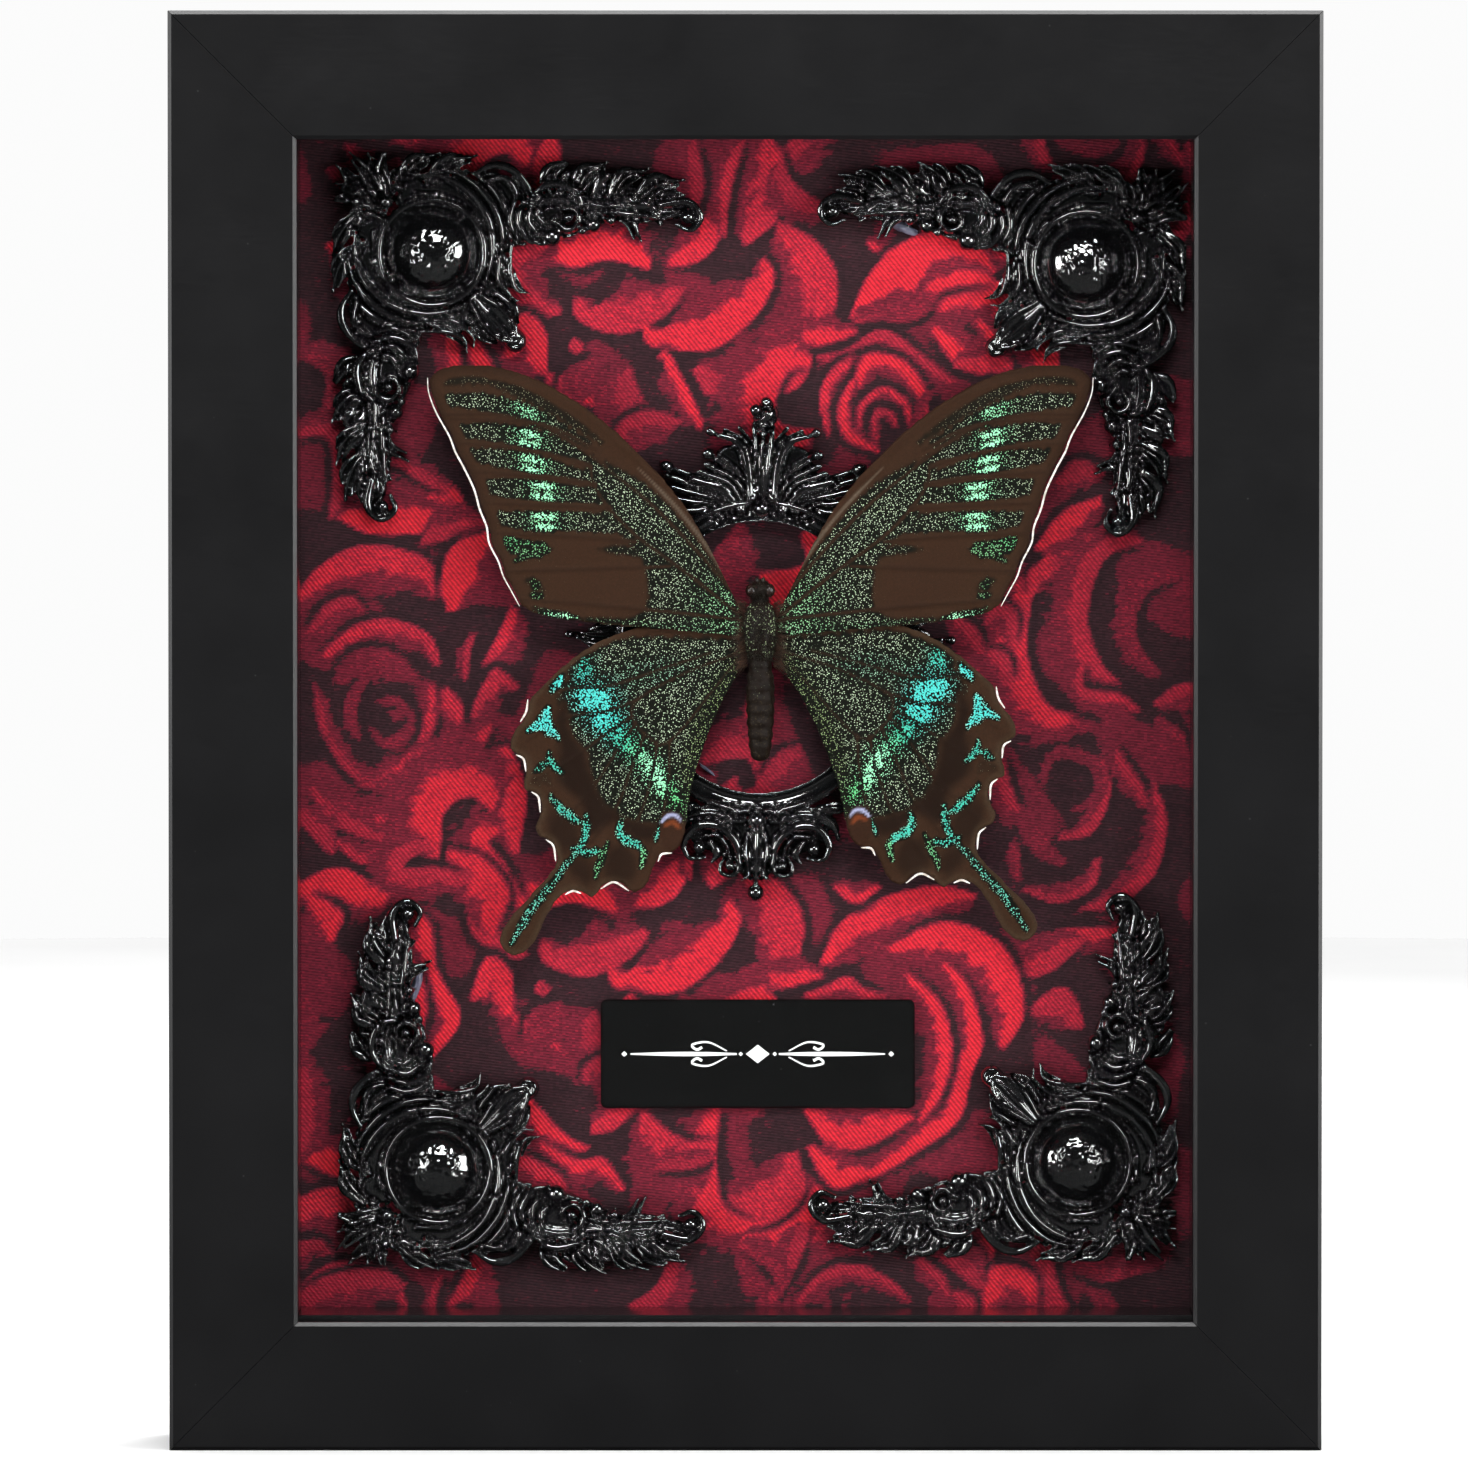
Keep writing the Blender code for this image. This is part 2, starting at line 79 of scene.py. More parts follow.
# The wings: thickness, height at the root, and how much they climb on the way out.
WING_THICKNESS = 0.3
FOREWING_HEIGHT, FOREWING_CLIMB = 7.7, 0.028
HINDWING_HEIGHT, HINDWING_CLIMB = 6.7, 0.02

# How far apart the points of the pieces' meshes are.
CLOTH_PITCH = 0.57
CORNER_PITCH = 0.22
OVAL_PITCH = 0.24
WING_PITCH = 0.36

# The cloth lies behind the frame's face, so its roses are drawn larger about the height of the eye.
CLOTH_SHRINK = 0.9905
EYE_RISE = 95


# ---- small tools ----


def smooth(value, low, high):
    """0 below low, 1 above high, and a soft step between them."""
    share = np.clip((value - low) / (high - low), 0, 1)
    return share * share * (3 - 2 * share)


def curve(points, step=0.5, closed=False):
    """Points about one step apart on a smooth curve through the given ones."""
    given = np.array(points, float)
    if closed:
        padded = np.vstack([given[-1], given, given[:2]])
    else:
        padded = np.vstack([2 * given[0] - given[1], given, 2 * given[-1] - given[-2]])
    parts = []
    for before, start, end, after in zip(padded, padded[1:], padded[2:], padded[3:]):
        count = max(2, int(np.hypot(*(end - start)) / step) + 1)
        t = np.linspace(0, 1, count, endpoint=False)[:, None]
        cubic = (3 * start - before - 3 * end + after) * t**3
        square = (2 * before - 5 * start + 4 * end - after) * t**2
        parts.append((2 * start + (end - before) * t + square + cubic) / 2)
    if not closed:
        parts.append(given[-1:])
    return np.vstack(parts)


def follow(x, z, line):
    """Each point's distance from the line, its share of the way along, and its side (1 left, -1 right)."""
    start, step = line[:-1], np.diff(line, axis=0)
    length = np.maximum(np.hypot(step[:, 0], step[:, 1]), 1e-9)
    begun = np.concatenate([[0], np.cumsum(length)])
    px = x[..., None] - start[:, 0]
    pz = z[..., None] - start[:, 1]
    t = np.clip((px * step[:, 0] + pz * step[:, 1]) / length**2, 0, 1)
    gap = np.hypot(px - t * step[:, 0], pz - t * step[:, 1])
    best = gap.argmin(-1)[..., None]
    share = (begun[:-1] + t * length) / begun[-1]
    cross = step[:, 0] * pz - step[:, 1] * px
    nearest = [np.take_along_axis(found, best, -1)[..., 0] for found in (gap, share, cross)]
    return nearest[0], nearest[1], np.where(nearest[2] >= 0, 1.0, -1.0)


def within(x, z, ring):
    """Each point's distance from a closed outline, positive inside it."""
    gap = follow(x, z, np.vstack([ring, ring[:1]]))[0]
    following = np.roll(ring, -1, axis=0)
    rise = following[:, 1] - ring[:, 1]
    rise = np.where(np.abs(rise) < 1e-9, 1e-9, rise)
    spans = (ring[:, 1] > z[..., None]) != (following[:, 1] > z[..., None])
    crossing = ring[:, 0] + (following[:, 0] - ring[:, 0]) * (z[..., None] - ring[:, 1]) / rise
    odd = (spans & (x[..., None] < crossing)).sum(-1) % 2 == 1
    return np.where(odd, gap, -gap)


def ripple(x, z, size, seed, waves=7):
    """A soft random field from -1 to 1, with lumps of about the given size."""
    random = np.random.default_rng(seed)
    total = np.zeros_like(x)
    for _ in range(waves):
        angle = random.uniform(0, 2 * math.pi)
        pitch = size * random.uniform(0.7, 1.6)
        phase = random.uniform(0, 2 * math.pi)
        total += np.sin((x * math.cos(angle) + z * math.sin(angle)) * 2 * math.pi / pitch + phase)
    return total / waves * 1.6


class Grid:
    """A plane of points, in millimetres, that drawings and reliefs are worked out on."""

    def __init__(self, x_range, z_range, pitch):
        self.pitch = pitch
        self.xs = np.arange(x_range[0], x_range[1] + pitch / 2, pitch)
        self.zs = np.arange(z_range[0], z_range[1] + pitch / 2, pitch)
        self.x, self.z = np.meshgrid(self.xs, self.zs, indexing="ij")

    def window(self, points, reach):
        """The part of the grid that lies within reach of the points."""
        low, high = points.min(0) - reach, points.max(0) + reach
        columns = slice(*np.searchsorted(self.xs, (low[0], high[0])))
        rows = slice(*np.searchsorted(self.zs, (low[1], high[1])))
        return columns, rows

    def shrunk(self, share, pole):
        """The same points brought closer to (0, pole), so that a drawing on them comes out larger."""
        near = copy.copy(self)
        near.pitch = self.pitch * share
        near.xs, near.x = self.xs * share, self.x * share
        near.zs, near.z = pole + (self.zs - pole) * share, pole + (self.z - pole) * share
        return near


def new_piece(name, mesh, material):
    """Adds a mesh as a piece that rides on the frame."""
    mesh.materials.append(material)
    piece = bpy.data.objects.new(name, mesh)
    bpy.context.scene.collection.objects.link(piece)
    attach(piece, BODY)
    return piece


def mesh_of(name, points, faces, smooth_faces=True):
    """A mesh from points and several arrays of faces."""
    mesh = bpy.data.meshes.new(name)
    mesh.from_pydata(points.tolist(), [], [face for part in faces for face in part.tolist()])
    mesh.validate()
    if smooth_faces:
        mesh.shade_smooth()
    return mesh


def turn_outwards(mesh):
    """Turns a closed mesh's faces outwards."""
    shell = bmesh.new()
    shell.from_mesh(mesh)
    bmesh.ops.recalc_face_normals(shell, faces=shell.faces)
    shell.to_mesh(mesh)
    shell.free()


def box_place(x, z, height):
    """World points, in metres, from places and heights in millimetres."""
    return np.stack([MIDDLE.x + x * MM, CLOTH_FRONT - height * MM, MIDDLE.z + z * MM], -1)


def open_edges(quads, count):
    """The edges that only one face has, each running the way its face does."""
    ends = np.concatenate([quads[:, [k, (k + 1) % 4]] for k in range(4)])
    forward = ends[:, 0] * count + ends[:, 1]
    backward = ends[:, 1] * count + ends[:, 0]
    return ends[~np.isin(forward, backward)]


def relax(points, edges, rounds=3):
    """Evens out the steps of a grid's edge."""
    for _ in range(rounds):
        total = np.zeros_like(points)
        share = np.zeros(len(points))
        for first, second in ((0, 1), (1, 0)):
            np.add.at(total, edges[:, first], points[edges[:, second]])
            np.add.at(share, edges[:, first], 1)
        on_edge = share > 0
        points[on_edge] = (points[on_edge] + total[on_edge] / share[on_edge, None]) / 2
    return points


def grid_solid(name, grid, inside, top, bottom, place, flip=False):
    """A closed solid over the grid's cells whose corners are all inside.

    top and bottom are heights, place turns (x, z) points into places in the box, and flip turns the faces
    round where place mirrors them. It gives the mesh and which grid point each vertex came from.
    """
    cells = inside[:-1, :-1] & inside[1:, :-1] & inside[1:, 1:] & inside[:-1, 1:]
    used = np.zeros(inside.shape, bool)
    for i, j in ((0, 0), (1, 0), (1, 1), (0, 1)):
        used[i : i + cells.shape[0], j : j + cells.shape[1]] |= cells
    number = np.full(inside.shape, -1)
    count = int(used.sum())
    number[used] = np.arange(count)
    corners = [number[:-1, :-1], number[1:, :-1], number[1:, 1:], number[:-1, 1:]]
    quads = np.stack([corner[cells] for corner in corners], -1)
    edges = open_edges(quads, count)
    flat = relax(np.stack([grid.x[used], grid.z[used]], -1), edges)
    flat = np.stack(place(flat[:, 0], flat[:, 1]), -1)
    upper = box_place(flat[:, 0], flat[:, 1], top[used])
    lower = box_place(flat[:, 0], flat[:, 1], bottom[used])
    sides = np.stack([edges[:, 1], edges[:, 0], edges[:, 0] + count, edges[:, 1] + count], -1)
    faces = [quads, quads[:, ::-1] + count, sides]
    if flip:
        faces = [part[:, ::-1] for part in faces]
    mesh = mesh_of(name, np.vstack([upper, lower]), faces)
    return mesh, used


def paint_attribute(mesh, name, kind, used, values):
    """Stores a value of the grid on both skins of a grid solid."""
    attribute = mesh.attributes.new(name, kind, "POINT")
    chosen = values[used]
    if kind == "FLOAT_COLOR":
        chosen = np.concatenate([chosen, np.ones((len(chosen), 1))], -1)
        attribute.data.foreach_set("color", np.vstack([chosen, chosen]).astype(np.float32).ravel())
    else:
        attribute.data.foreach_set("value", np.concatenate([chosen, chosen]).astype(np.float32))


def turned(x, z, centre, degrees):
    """Points turned clockwise, as seen from the front, and moved to the centre."""
    c, s = math.cos(math.radians(degrees)), math.sin(math.radians(degrees))
    return centre[0] + x * c + z * s, centre[1] - x * s + z * c


# ---- materials ----


class Finish:
    """A material in the making: its shader, and short ways of adding nodes to it."""

    def __init__(self, name, settings):
        self.material = bpy.data.materials.new(name)
        self.material.use_nodes = True
        self.nodes = self.material.node_tree.nodes
        self.links = self.material.node_tree.links
        self.shader = self.nodes["Principled BSDF"]
        for label, value in settings.items():
            self.put(self.shader, label, value)
        place = self.nodes.new("ShaderNodeTexCoord").outputs["Object"]
        self.place = self.vector("SCALE", place, scale=1 / MM)

    def put(self, node, label, value):
        socket = node.inputs[label]
        if isinstance(value, bpy.types.NodeSocket):
            self.links.new(value, socket)
        elif socket.type == "RGBA":
            socket.default_value = (*value[:3], 1.0)
        else:
            socket.default_value = value

    def add(self, kind, inputs=(), **properties):
        node = self.nodes.new(kind)
        for label, value in properties.items():
            setattr(node, label, value)
        for label, value in dict(inputs).items():
            self.put(node, label, value)
        return node

    def vector(self, operation, first, second=None, scale=None):
        inputs = {0: first}
        if second is not None:
            inputs[1] = second
        if scale is not None:
            inputs["Scale"] = scale
        node = self.add("ShaderNodeVectorMath", inputs, operation=operation)
        return node.outputs["Value" if operation == "DOT_PRODUCT" else "Vector"]

    def math(self, operation, first, second=0.0):
        return self.add("ShaderNodeMath", {0: first, 1: second}, operation=operation).outputs[0]

    def noise(self, size, detail=2.0, roughness=0.5, stretch=None):
        place = self.place if stretch is None else self.vector("MULTIPLY", self.place, stretch)
        inputs = {"Vector": place, "Scale": 1 / size, "Detail": detail, "Roughness": roughness}
        return self.add("ShaderNodeTexNoise", inputs).outputs["Fac"]

    def cells(self, size, output="Distance"):
        inputs = {"Vector": self.place, "Scale": 1 / size, "Randomness": 1.0}
        return self.add("ShaderNodeTexVoronoi", inputs).outputs[output]

    def attribute(self, name, output="Fac"):
        return self.add("ShaderNodeAttribute", attribute_name=name).outputs[output]

    def remap(self, value, low, high, to_low=0.0, to_high=1.0):
        inputs = {"Value": value, "From Min": low, "From Max": high, "To Min": to_low, "To Max": to_high}
        return self.add("ShaderNodeMapRange", inputs).outputs["Result"]

    def mix(self, share, first, second, blend="MIX"):
        node = self.add("ShaderNodeMix", data_type="RGBA", blend_type=blend)
        self.put(node, 0, share)
        for key, value in ((6, first), (7, second)):
            self.put(node, key, value)
        return node.outputs[2]

    def ramp(self, value, stops):
        node = self.add("ShaderNodeValToRGB", {"Fac": value})
        band = node.color_ramp
        band.interpolation = "LINEAR"
        while len(band.elements) < len(stops):
            band.elements.new(0.5)
        for element, (position, colour) in zip(band.elements, stops):
            element.position = position
            element.color = (*colour, 1.0)
        return node.outputs["Color"]

    def colour(self, value):
        self.put(self.shader, "Base Color", value)

    def rough(self, value):
        self.put(self.shader, "Roughness", value)

    def bump(self, height, depth, strength=1.0, after=None):
        """Adds relief of a depth in millimetres."""
        inputs = {"Height": height, "Distance": depth * MM, "Strength": strength}
        if after is not None:
            inputs["Normal"] = after
        normal = self.add("ShaderNodeBump", inputs).outputs["Normal"]
        self.put(self.shader, "Normal", normal)
        return normal


def painted_wood():
    """Satin black lacquer with a slight orange peel, a hint of grain, and a few specks of dust."""
    finish = Finish("frame_black_satin", {"Specular IOR Level": 0.35})
    grain = finish.noise(0.5, 3, 0.6, (0.12, 1, 1))
    cloud = finish.noise(18, 3)
    base = finish.mix(cloud, (0.0028, 0.0028, 0.0031), (0.0045, 0.0045, 0.005))
    specks = finish.cells(5.5)
    dust = finish.remap(specks, 0.03, 0.02)
    finish.colour(finish.mix(finish.math("MULTIPLY", dust, 0.25), base, (0.09, 0.09, 0.09)))
    finish.rough(finish.remap(finish.math("ADD", cloud, grain), 0.4, 1.6, 0.26, 0.36))
    peel = finish.bump(finish.noise(0.7, 2), 0.012, 0.5)
    finish.bump(grain, 0.01, 0.4, peel)
    return finish.material


def gloss_liner():
    """Glossy black strip with faint streaks along it."""
    finish = Finish("liner_black_gloss", {"Specular IOR Level": 0.6})
    streaks = finish.noise(1.2, 3, 0.6, (0.1, 1, 1))
    finish.colour(finish.mix(streaks, (0.007, 0.0065, 0.007), (0.012, 0.011, 0.012)))
    finish.rough(finish.remap(streaks, 0.3, 0.7, 0.1, 0.24))
    finish.bump(streaks, 0.02, 0.4)
    return finish.material


def clear_glass():
    """A thin clear pane: light passes straight through, with a weak reflection and hardly any smears."""
    finish = Finish("clear_glass", {})
    smear = finish.remap(finish.noise(25, 3), 0.45, 0.7, 0.0, 0.03)
    clear = finish.add("ShaderNodeBsdfTransparent", {"Color": (0.985, 0.992, 0.99)}).outputs[0]
    gloss = finish.add("ShaderNodeBsdfGlossy", {"Color": (1, 1, 1), "Roughness": smear}).outputs[0]
    facing = finish.add("ShaderNodeFresnel", {"IOR": 1.12}).outputs[0]
    both = finish.add("ShaderNodeMixShader", {0: facing, 1: clear, 2: gloss}).outputs[0]
    finish.links.new(both, finish.nodes["Material Output"].inputs["Surface"])
    finish.nodes.remove(finish.shader)
    return finish.material


def fibreboard(name, dark, light):
    """Pressed fibres, in a mottle of two colours."""
    finish = Finish(name, {"Specular IOR Level": 0.2})
    fibres = finish.noise(0.6, 4, 0.7, (0.3, 1, 1))
    mottle = finish.noise(4, 3)
    share = finish.remap(finish.math("ADD", fibres, mottle), 0.7, 1.3)
    finish.colour(finish.mix(share, dark, light))
    finish.rough(finish.remap(fibres, 0, 1, 0.7, 0.9))
    finish.bump(fibres, 0.06, 0.6)
    return finish.material


def plated_steel():
    """Zinc plating with fine drawn lines and a little tarnish."""
    finish = Finish("zinc_steel", {"Metallic": 1.0})
    lines = finish.noise(0.15, 2, 0.5, (0.05, 1, 1))
    tarnish = finish.noise(2.5, 3)
    finish.colour(finish.mix(finish.remap(tarnish, 0.4, 0.7), (0.62, 0.61, 0.58), (0.4, 0.38, 0.35)))
    finish.rough(finish.remap(lines, 0, 1, 0.25, 0.42))
    finish.bump(lines, 0.01, 0.4)
    return finish.material


def rose_jacquard():
    """Satin jacquard in four reds. The weave sets each thread to one of them, so tones meet in saw teeth."""
    settings = {"Sheen Weight": 0.02, "Sheen Roughness": 0.4, "Specular IOR Level": 0.12}
    finish = Finish("rose_jacquard", settings)
    tone = finish.attribute("tone")
    thread = finish.vector("SNAP", finish.place, (0.52, 1.0, 0.24))
    chance = finish.add("ShaderNodeTexWhiteNoise", {"Vector": thread}).outputs["Value"]
    brush = finish.noise(0.8, 2, 0.6, (0.45, 1, 2.4))
    blotch = finish.noise(5, 2)
    jitter = finish.math("MULTIPLY", finish.math("SUBTRACT", chance, 0.5), 0.16)
    strokes = finish.math("MULTIPLY", finish.math("SUBTRACT", brush, 0.5), 0.26)
    patches = finish.math("MULTIPLY", finish.math("SUBTRACT", blotch, 0.5), 0.08)
    level = finish.math("ADD", finish.math("ADD", tone, jitter), finish.math("ADD", strokes, patches))
    reds = finish.ramp(
        level,
        [
            (0.0, (0.024, 0.0095, 0.0125)),
            (0.2, (0.037, 0.0115, 0.0155)),
            (0.23, (0.095, 0.0085, 0.018)),
            (0.44, (0.15, 0.0095, 0.023)),
            (0.48, (0.22, 0.0105, 0.0255)),
            (0.64, (0.29, 0.0115, 0.028)),
            (0.72, (0.36, 0.0125, 0.03)),
            (0.82, (0.5, 0.0135, 0.028)),
            (1.0, (0.6, 0.015, 0.027)),
        ],
    )
    twill = finish.vector("DOT_PRODUCT", finish.place, (8.1, 0.0, 6.7))
    ridge = finish.math("SINE", twill)
    rib = finish.math("SINE", finish.vector("DOT_PRODUCT", finish.place, (1.6, 0.0, 13.5)))
    rib = finish.math("MULTIPLY", rib, 0.6)
    weave = finish.mix(finish.remap(level, 0.35, 0.75), rib, ridge)
    shade = finish.remap(weave, -1.0, 1.0, 0.52, 1.25)
    fleck = finish.remap(chance, 0.0, 1.0, 0.86, 1.12)
    finish.colour(finish.mix(1.0, reds, finish.math("MULTIPLY", shade, fleck), "MULTIPLY"))
    finish.rough(finish.remap(level, 0.2, 0.9, 0.68, 0.46))
    threads = finish.bump(weave, 0.05, 0.55)
    finish.bump(chance, 0.03, 0.35, threads)
    return finish.material


def cast_resin():
    """Glossy black lacquer over a rough casting: fine lumps and pits that break up its highlights."""
    coat = {"Coat Weight": 1.0, "Coat Roughness": 0.05, "Coat IOR": 1.8}
    finish = Finish("black_cast_resin", {"Specular IOR Level": 0.8, **coat})
    lumps = finish.noise(0.9, 3, 0.55)
    grit = finish.noise(0.28, 2, 0.6)
    finish.colour(finish.mix(lumps, (0.0015, 0.0015, 0.0018), (0.004, 0.004, 0.0045)))
    finish.rough(finish.remap(grit, 0.3, 0.7, 0.06, 0.13))
    coarse = finish.bump(lumps, 0.06, 0.35)
    finish.bump(grit, 0.015, 0.35, coarse)
    return finish.material


def plate_plastic():
    """Satin black plate with a fine grain and a trace of dust."""
    finish = Finish("plate_black_satin", {"Specular IOR Level": 0.4})
    grain = finish.noise(0.25, 3)
    dust = finish.remap(finish.cells(3.2), 0.04, 0.02)
    base = finish.mix(finish.noise(6, 2), (0.003, 0.003, 0.003), (0.0055, 0.0055, 0.0055))
    finish.colour(finish.mix(finish.math("MULTIPLY", dust, 0.3), base, (0.12, 0.12, 0.12)))
    finish.rough(finish.remap(grain, 0.3, 0.7, 0.18, 0.25))
    finish.bump(grain, 0.012, 0.5)
    return finish.material


def white_ink():
    """Screen-printed white with slight unevenness."""
    finish = Finish("white_ink", {"Specular IOR Level": 0.3})
    patchy = finish.noise(0.5, 3)
    finish.colour(finish.mix(patchy, (0.86, 0.87, 0.87), (0.95, 0.95, 0.95)))
    finish.rough(finish.remap(patchy, 0, 1, 0.5, 0.65))
    finish.bump(patchy, 0.01, 0.4)
    return finish.material


def scaled_wing():
    """Dark scales with a dusting of bright ones, as dense and as coloured as the wing's own drawing says."""
    finish = Finish("wing_scales", {"Specular IOR Level": 0.08})
    ground = finish.attribute("ground", "Color")
    dust = finish.attribute("dust", "Color")
    density = finish.attribute("dusting")
    shimmer = finish.noise(0.22, 2)
    mottle = finish.remap(finish.noise(0.35, 3), 0.3, 0.7, 0.0, 0.35)
    ground = finish.mix(mottle, ground, (0.012, 0.007, 0.004))
    under = finish.remap(density, 0.1, 0.4)
    ground = finish.mix(under, ground, (0.0035, 0.004, 0.002))
    centre = finish.cells(0.3)
    uneven = finish.math("MULTIPLY", finish.math("SUBTRACT", shimmer, 0.5), 0.25)
    reach = finish.math("ADD", finish.math("MULTIPLY", density, 0.6), uneven)
    shown = finish.remap(finish.math("SUBTRACT", reach, centre), -0.01, 0.07)
    present = finish.remap(density, 0.03, 0.12)
    shown = finish.math("MULTIPLY", shown, present)
    chance = finish.add("ShaderNodeSeparateColor", {"Color": finish.cells(0.3, "Color")}).outputs["Red"]
    dull = finish.mix(0.5, dust, (0.01, 0.01, 0.008))
    lit = finish.mix(finish.remap(chance, 0.0, 1.0, 0.0, 0.6), dust, dull)
    finish.colour(finish.mix(shown, ground, lit))
    finish.rough(finish.remap(shown, 0, 1, 0.62, 0.42))
    rows = finish.bump(finish.noise(0.12, 2), 0.03, 0.5)
    finish.bump(shown, 0.03, 0.5, rows)
    return finish.material


def fringe_scales():
    """Cream-white fringe, slightly broken."""
    finish = Finish("wing_fringe", {"Specular IOR Level": 0.2})
    patchy = finish.noise(0.6, 3)
    finish.colour(finish.mix(finish.remap(patchy, 0.35, 0.65), (0.5, 0.42, 0.36), (0.9, 0.85, 0.82)))
    finish.rough(finish.remap(patchy, 0, 1, 0.55, 0.75))
    finish.bump(finish.noise(0.15, 2), 0.03, 0.5)
    return finish.material


def body_skin():
    """Dark brown cuticle, with pale and olive scales dusted over it."""
    finish = Finish("body_skin", {"Specular IOR Level": 0.15})
    dust = finish.attribute("dust", "Color")
    density = finish.attribute("dusting")
    mottle = finish.noise(1.2, 3)
    base = finish.mix(mottle, (0.004, 0.0022, 0.0014), (0.014, 0.0075, 0.0042))
    reach = finish.math("MULTIPLY", density, 0.6)
    shown = finish.remap(finish.math("SUBTRACT", reach, finish.cells(0.42)), -0.02, 0.08)
    shown = finish.math("MULTIPLY", shown, finish.remap(density, 0.03, 0.12))
    finish.colour(finish.mix(shown, base, dust))
    finish.rough(finish.remap(mottle, 0.3, 0.7, 0.42, 0.65))
    finish.bump(finish.noise(0.3, 3), 0.12, 0.8)
    return finish.material


def body_hair(name, root, tip):
    """Hair that runs from a dark root to a paler tip, clump by clump."""
    finish = Finish(name, {"Specular IOR Level": 0.35})
    clump = finish.noise(0.7, 2)
    finish.colour(finish.mix(finish.remap(clump, 0.35, 0.65), root, tip))
    finish.rough(finish.remap(clump, 0, 1, 0.4, 0.6))
    finish.bump(finish.noise(0.2, 2), 0.02, 0.4)
    return finish.material


def eye_gloss():
    """Faceted dark brown eye."""
    finish = Finish("eye_brown", {"Specular IOR Level": 0.7})
    facets = finish.cells(0.12)
    finish.colour(finish.mix(finish.noise(0.9, 2), (0.006, 0.003, 0.0025), (0.03, 0.014, 0.01)))
    finish.rough(finish.remap(facets, 0, 0.6, 0.14, 0.26))
    finish.bump(facets, 0.02, 0.4)
    return finish.material


def hot_glue():
    """Milky, slightly blue glue that shows beside the castings."""
    finish = Finish("milky_glue", {"Specular IOR Level": 0.6, "Subsurface Weight": 0.3})
    finish.put(finish.shader, "Subsurface Radius", (0.5 * MM, 0.5 * MM, 0.7 * MM))
    cloud = finish.noise(1.4, 2)
    finish.colour(finish.mix(cloud, (0.05, 0.05, 0.085), (0.2, 0.2, 0.27)))
    finish.rough(finish.remap(cloud, 0, 1, 0.18, 0.3))
    finish.bump(cloud, 0.1, 0.4)
    return finish.material


def pale_floor():
    """Pale matt paper, with a faint cloud in it."""
    finish = Finish("pale_floor", {"Specular IOR Level": 0.2})
    cloud = finish.noise(60, 3)
    finish.colour(finish.mix(cloud, (0.84, 0.84, 0.84), (0.88, 0.88, 0.88)))
    finish.rough(finish.remap(cloud, 0, 1, 0.6, 0.75))
    finish.bump(finish.noise(2, 2), 0.02, 0.2)
    # Gloss sees a darker floor, as it does where black card keeps the floor out of a frame's glass.
    dim = finish.add("ShaderNodeBsdfDiffuse", {"Color": (0.06, 0.06, 0.06)}).outputs[0]
    mirrored = finish.add("ShaderNodeLightPath").outputs["Is Glossy Ray"]
    both = finish.add("ShaderNodeMixShader", {0: mirrored, 1: finish.shader.outputs[0], 2: dim}).outputs[0]
    finish.links.new(both, finish.nodes["Material Output"].inputs["Surface"])
    return finish.material


# ---- the rose cloth ----

PLUM, MAROON, MID, BRIGHT = 0.1, 0.34, 0.6, 0.9

# How far apart the woven pattern repeats, going down the cloth.
REPEAT = (-5.5, -103.0)

# Petals lower than this aren't repeated, and no repeat falls on the nameplate's rose, which starts at
# this (x, z) and runs up and to the right.
REPEATED_ABOVE = -38
PLATE_ROSE = (8, -60)

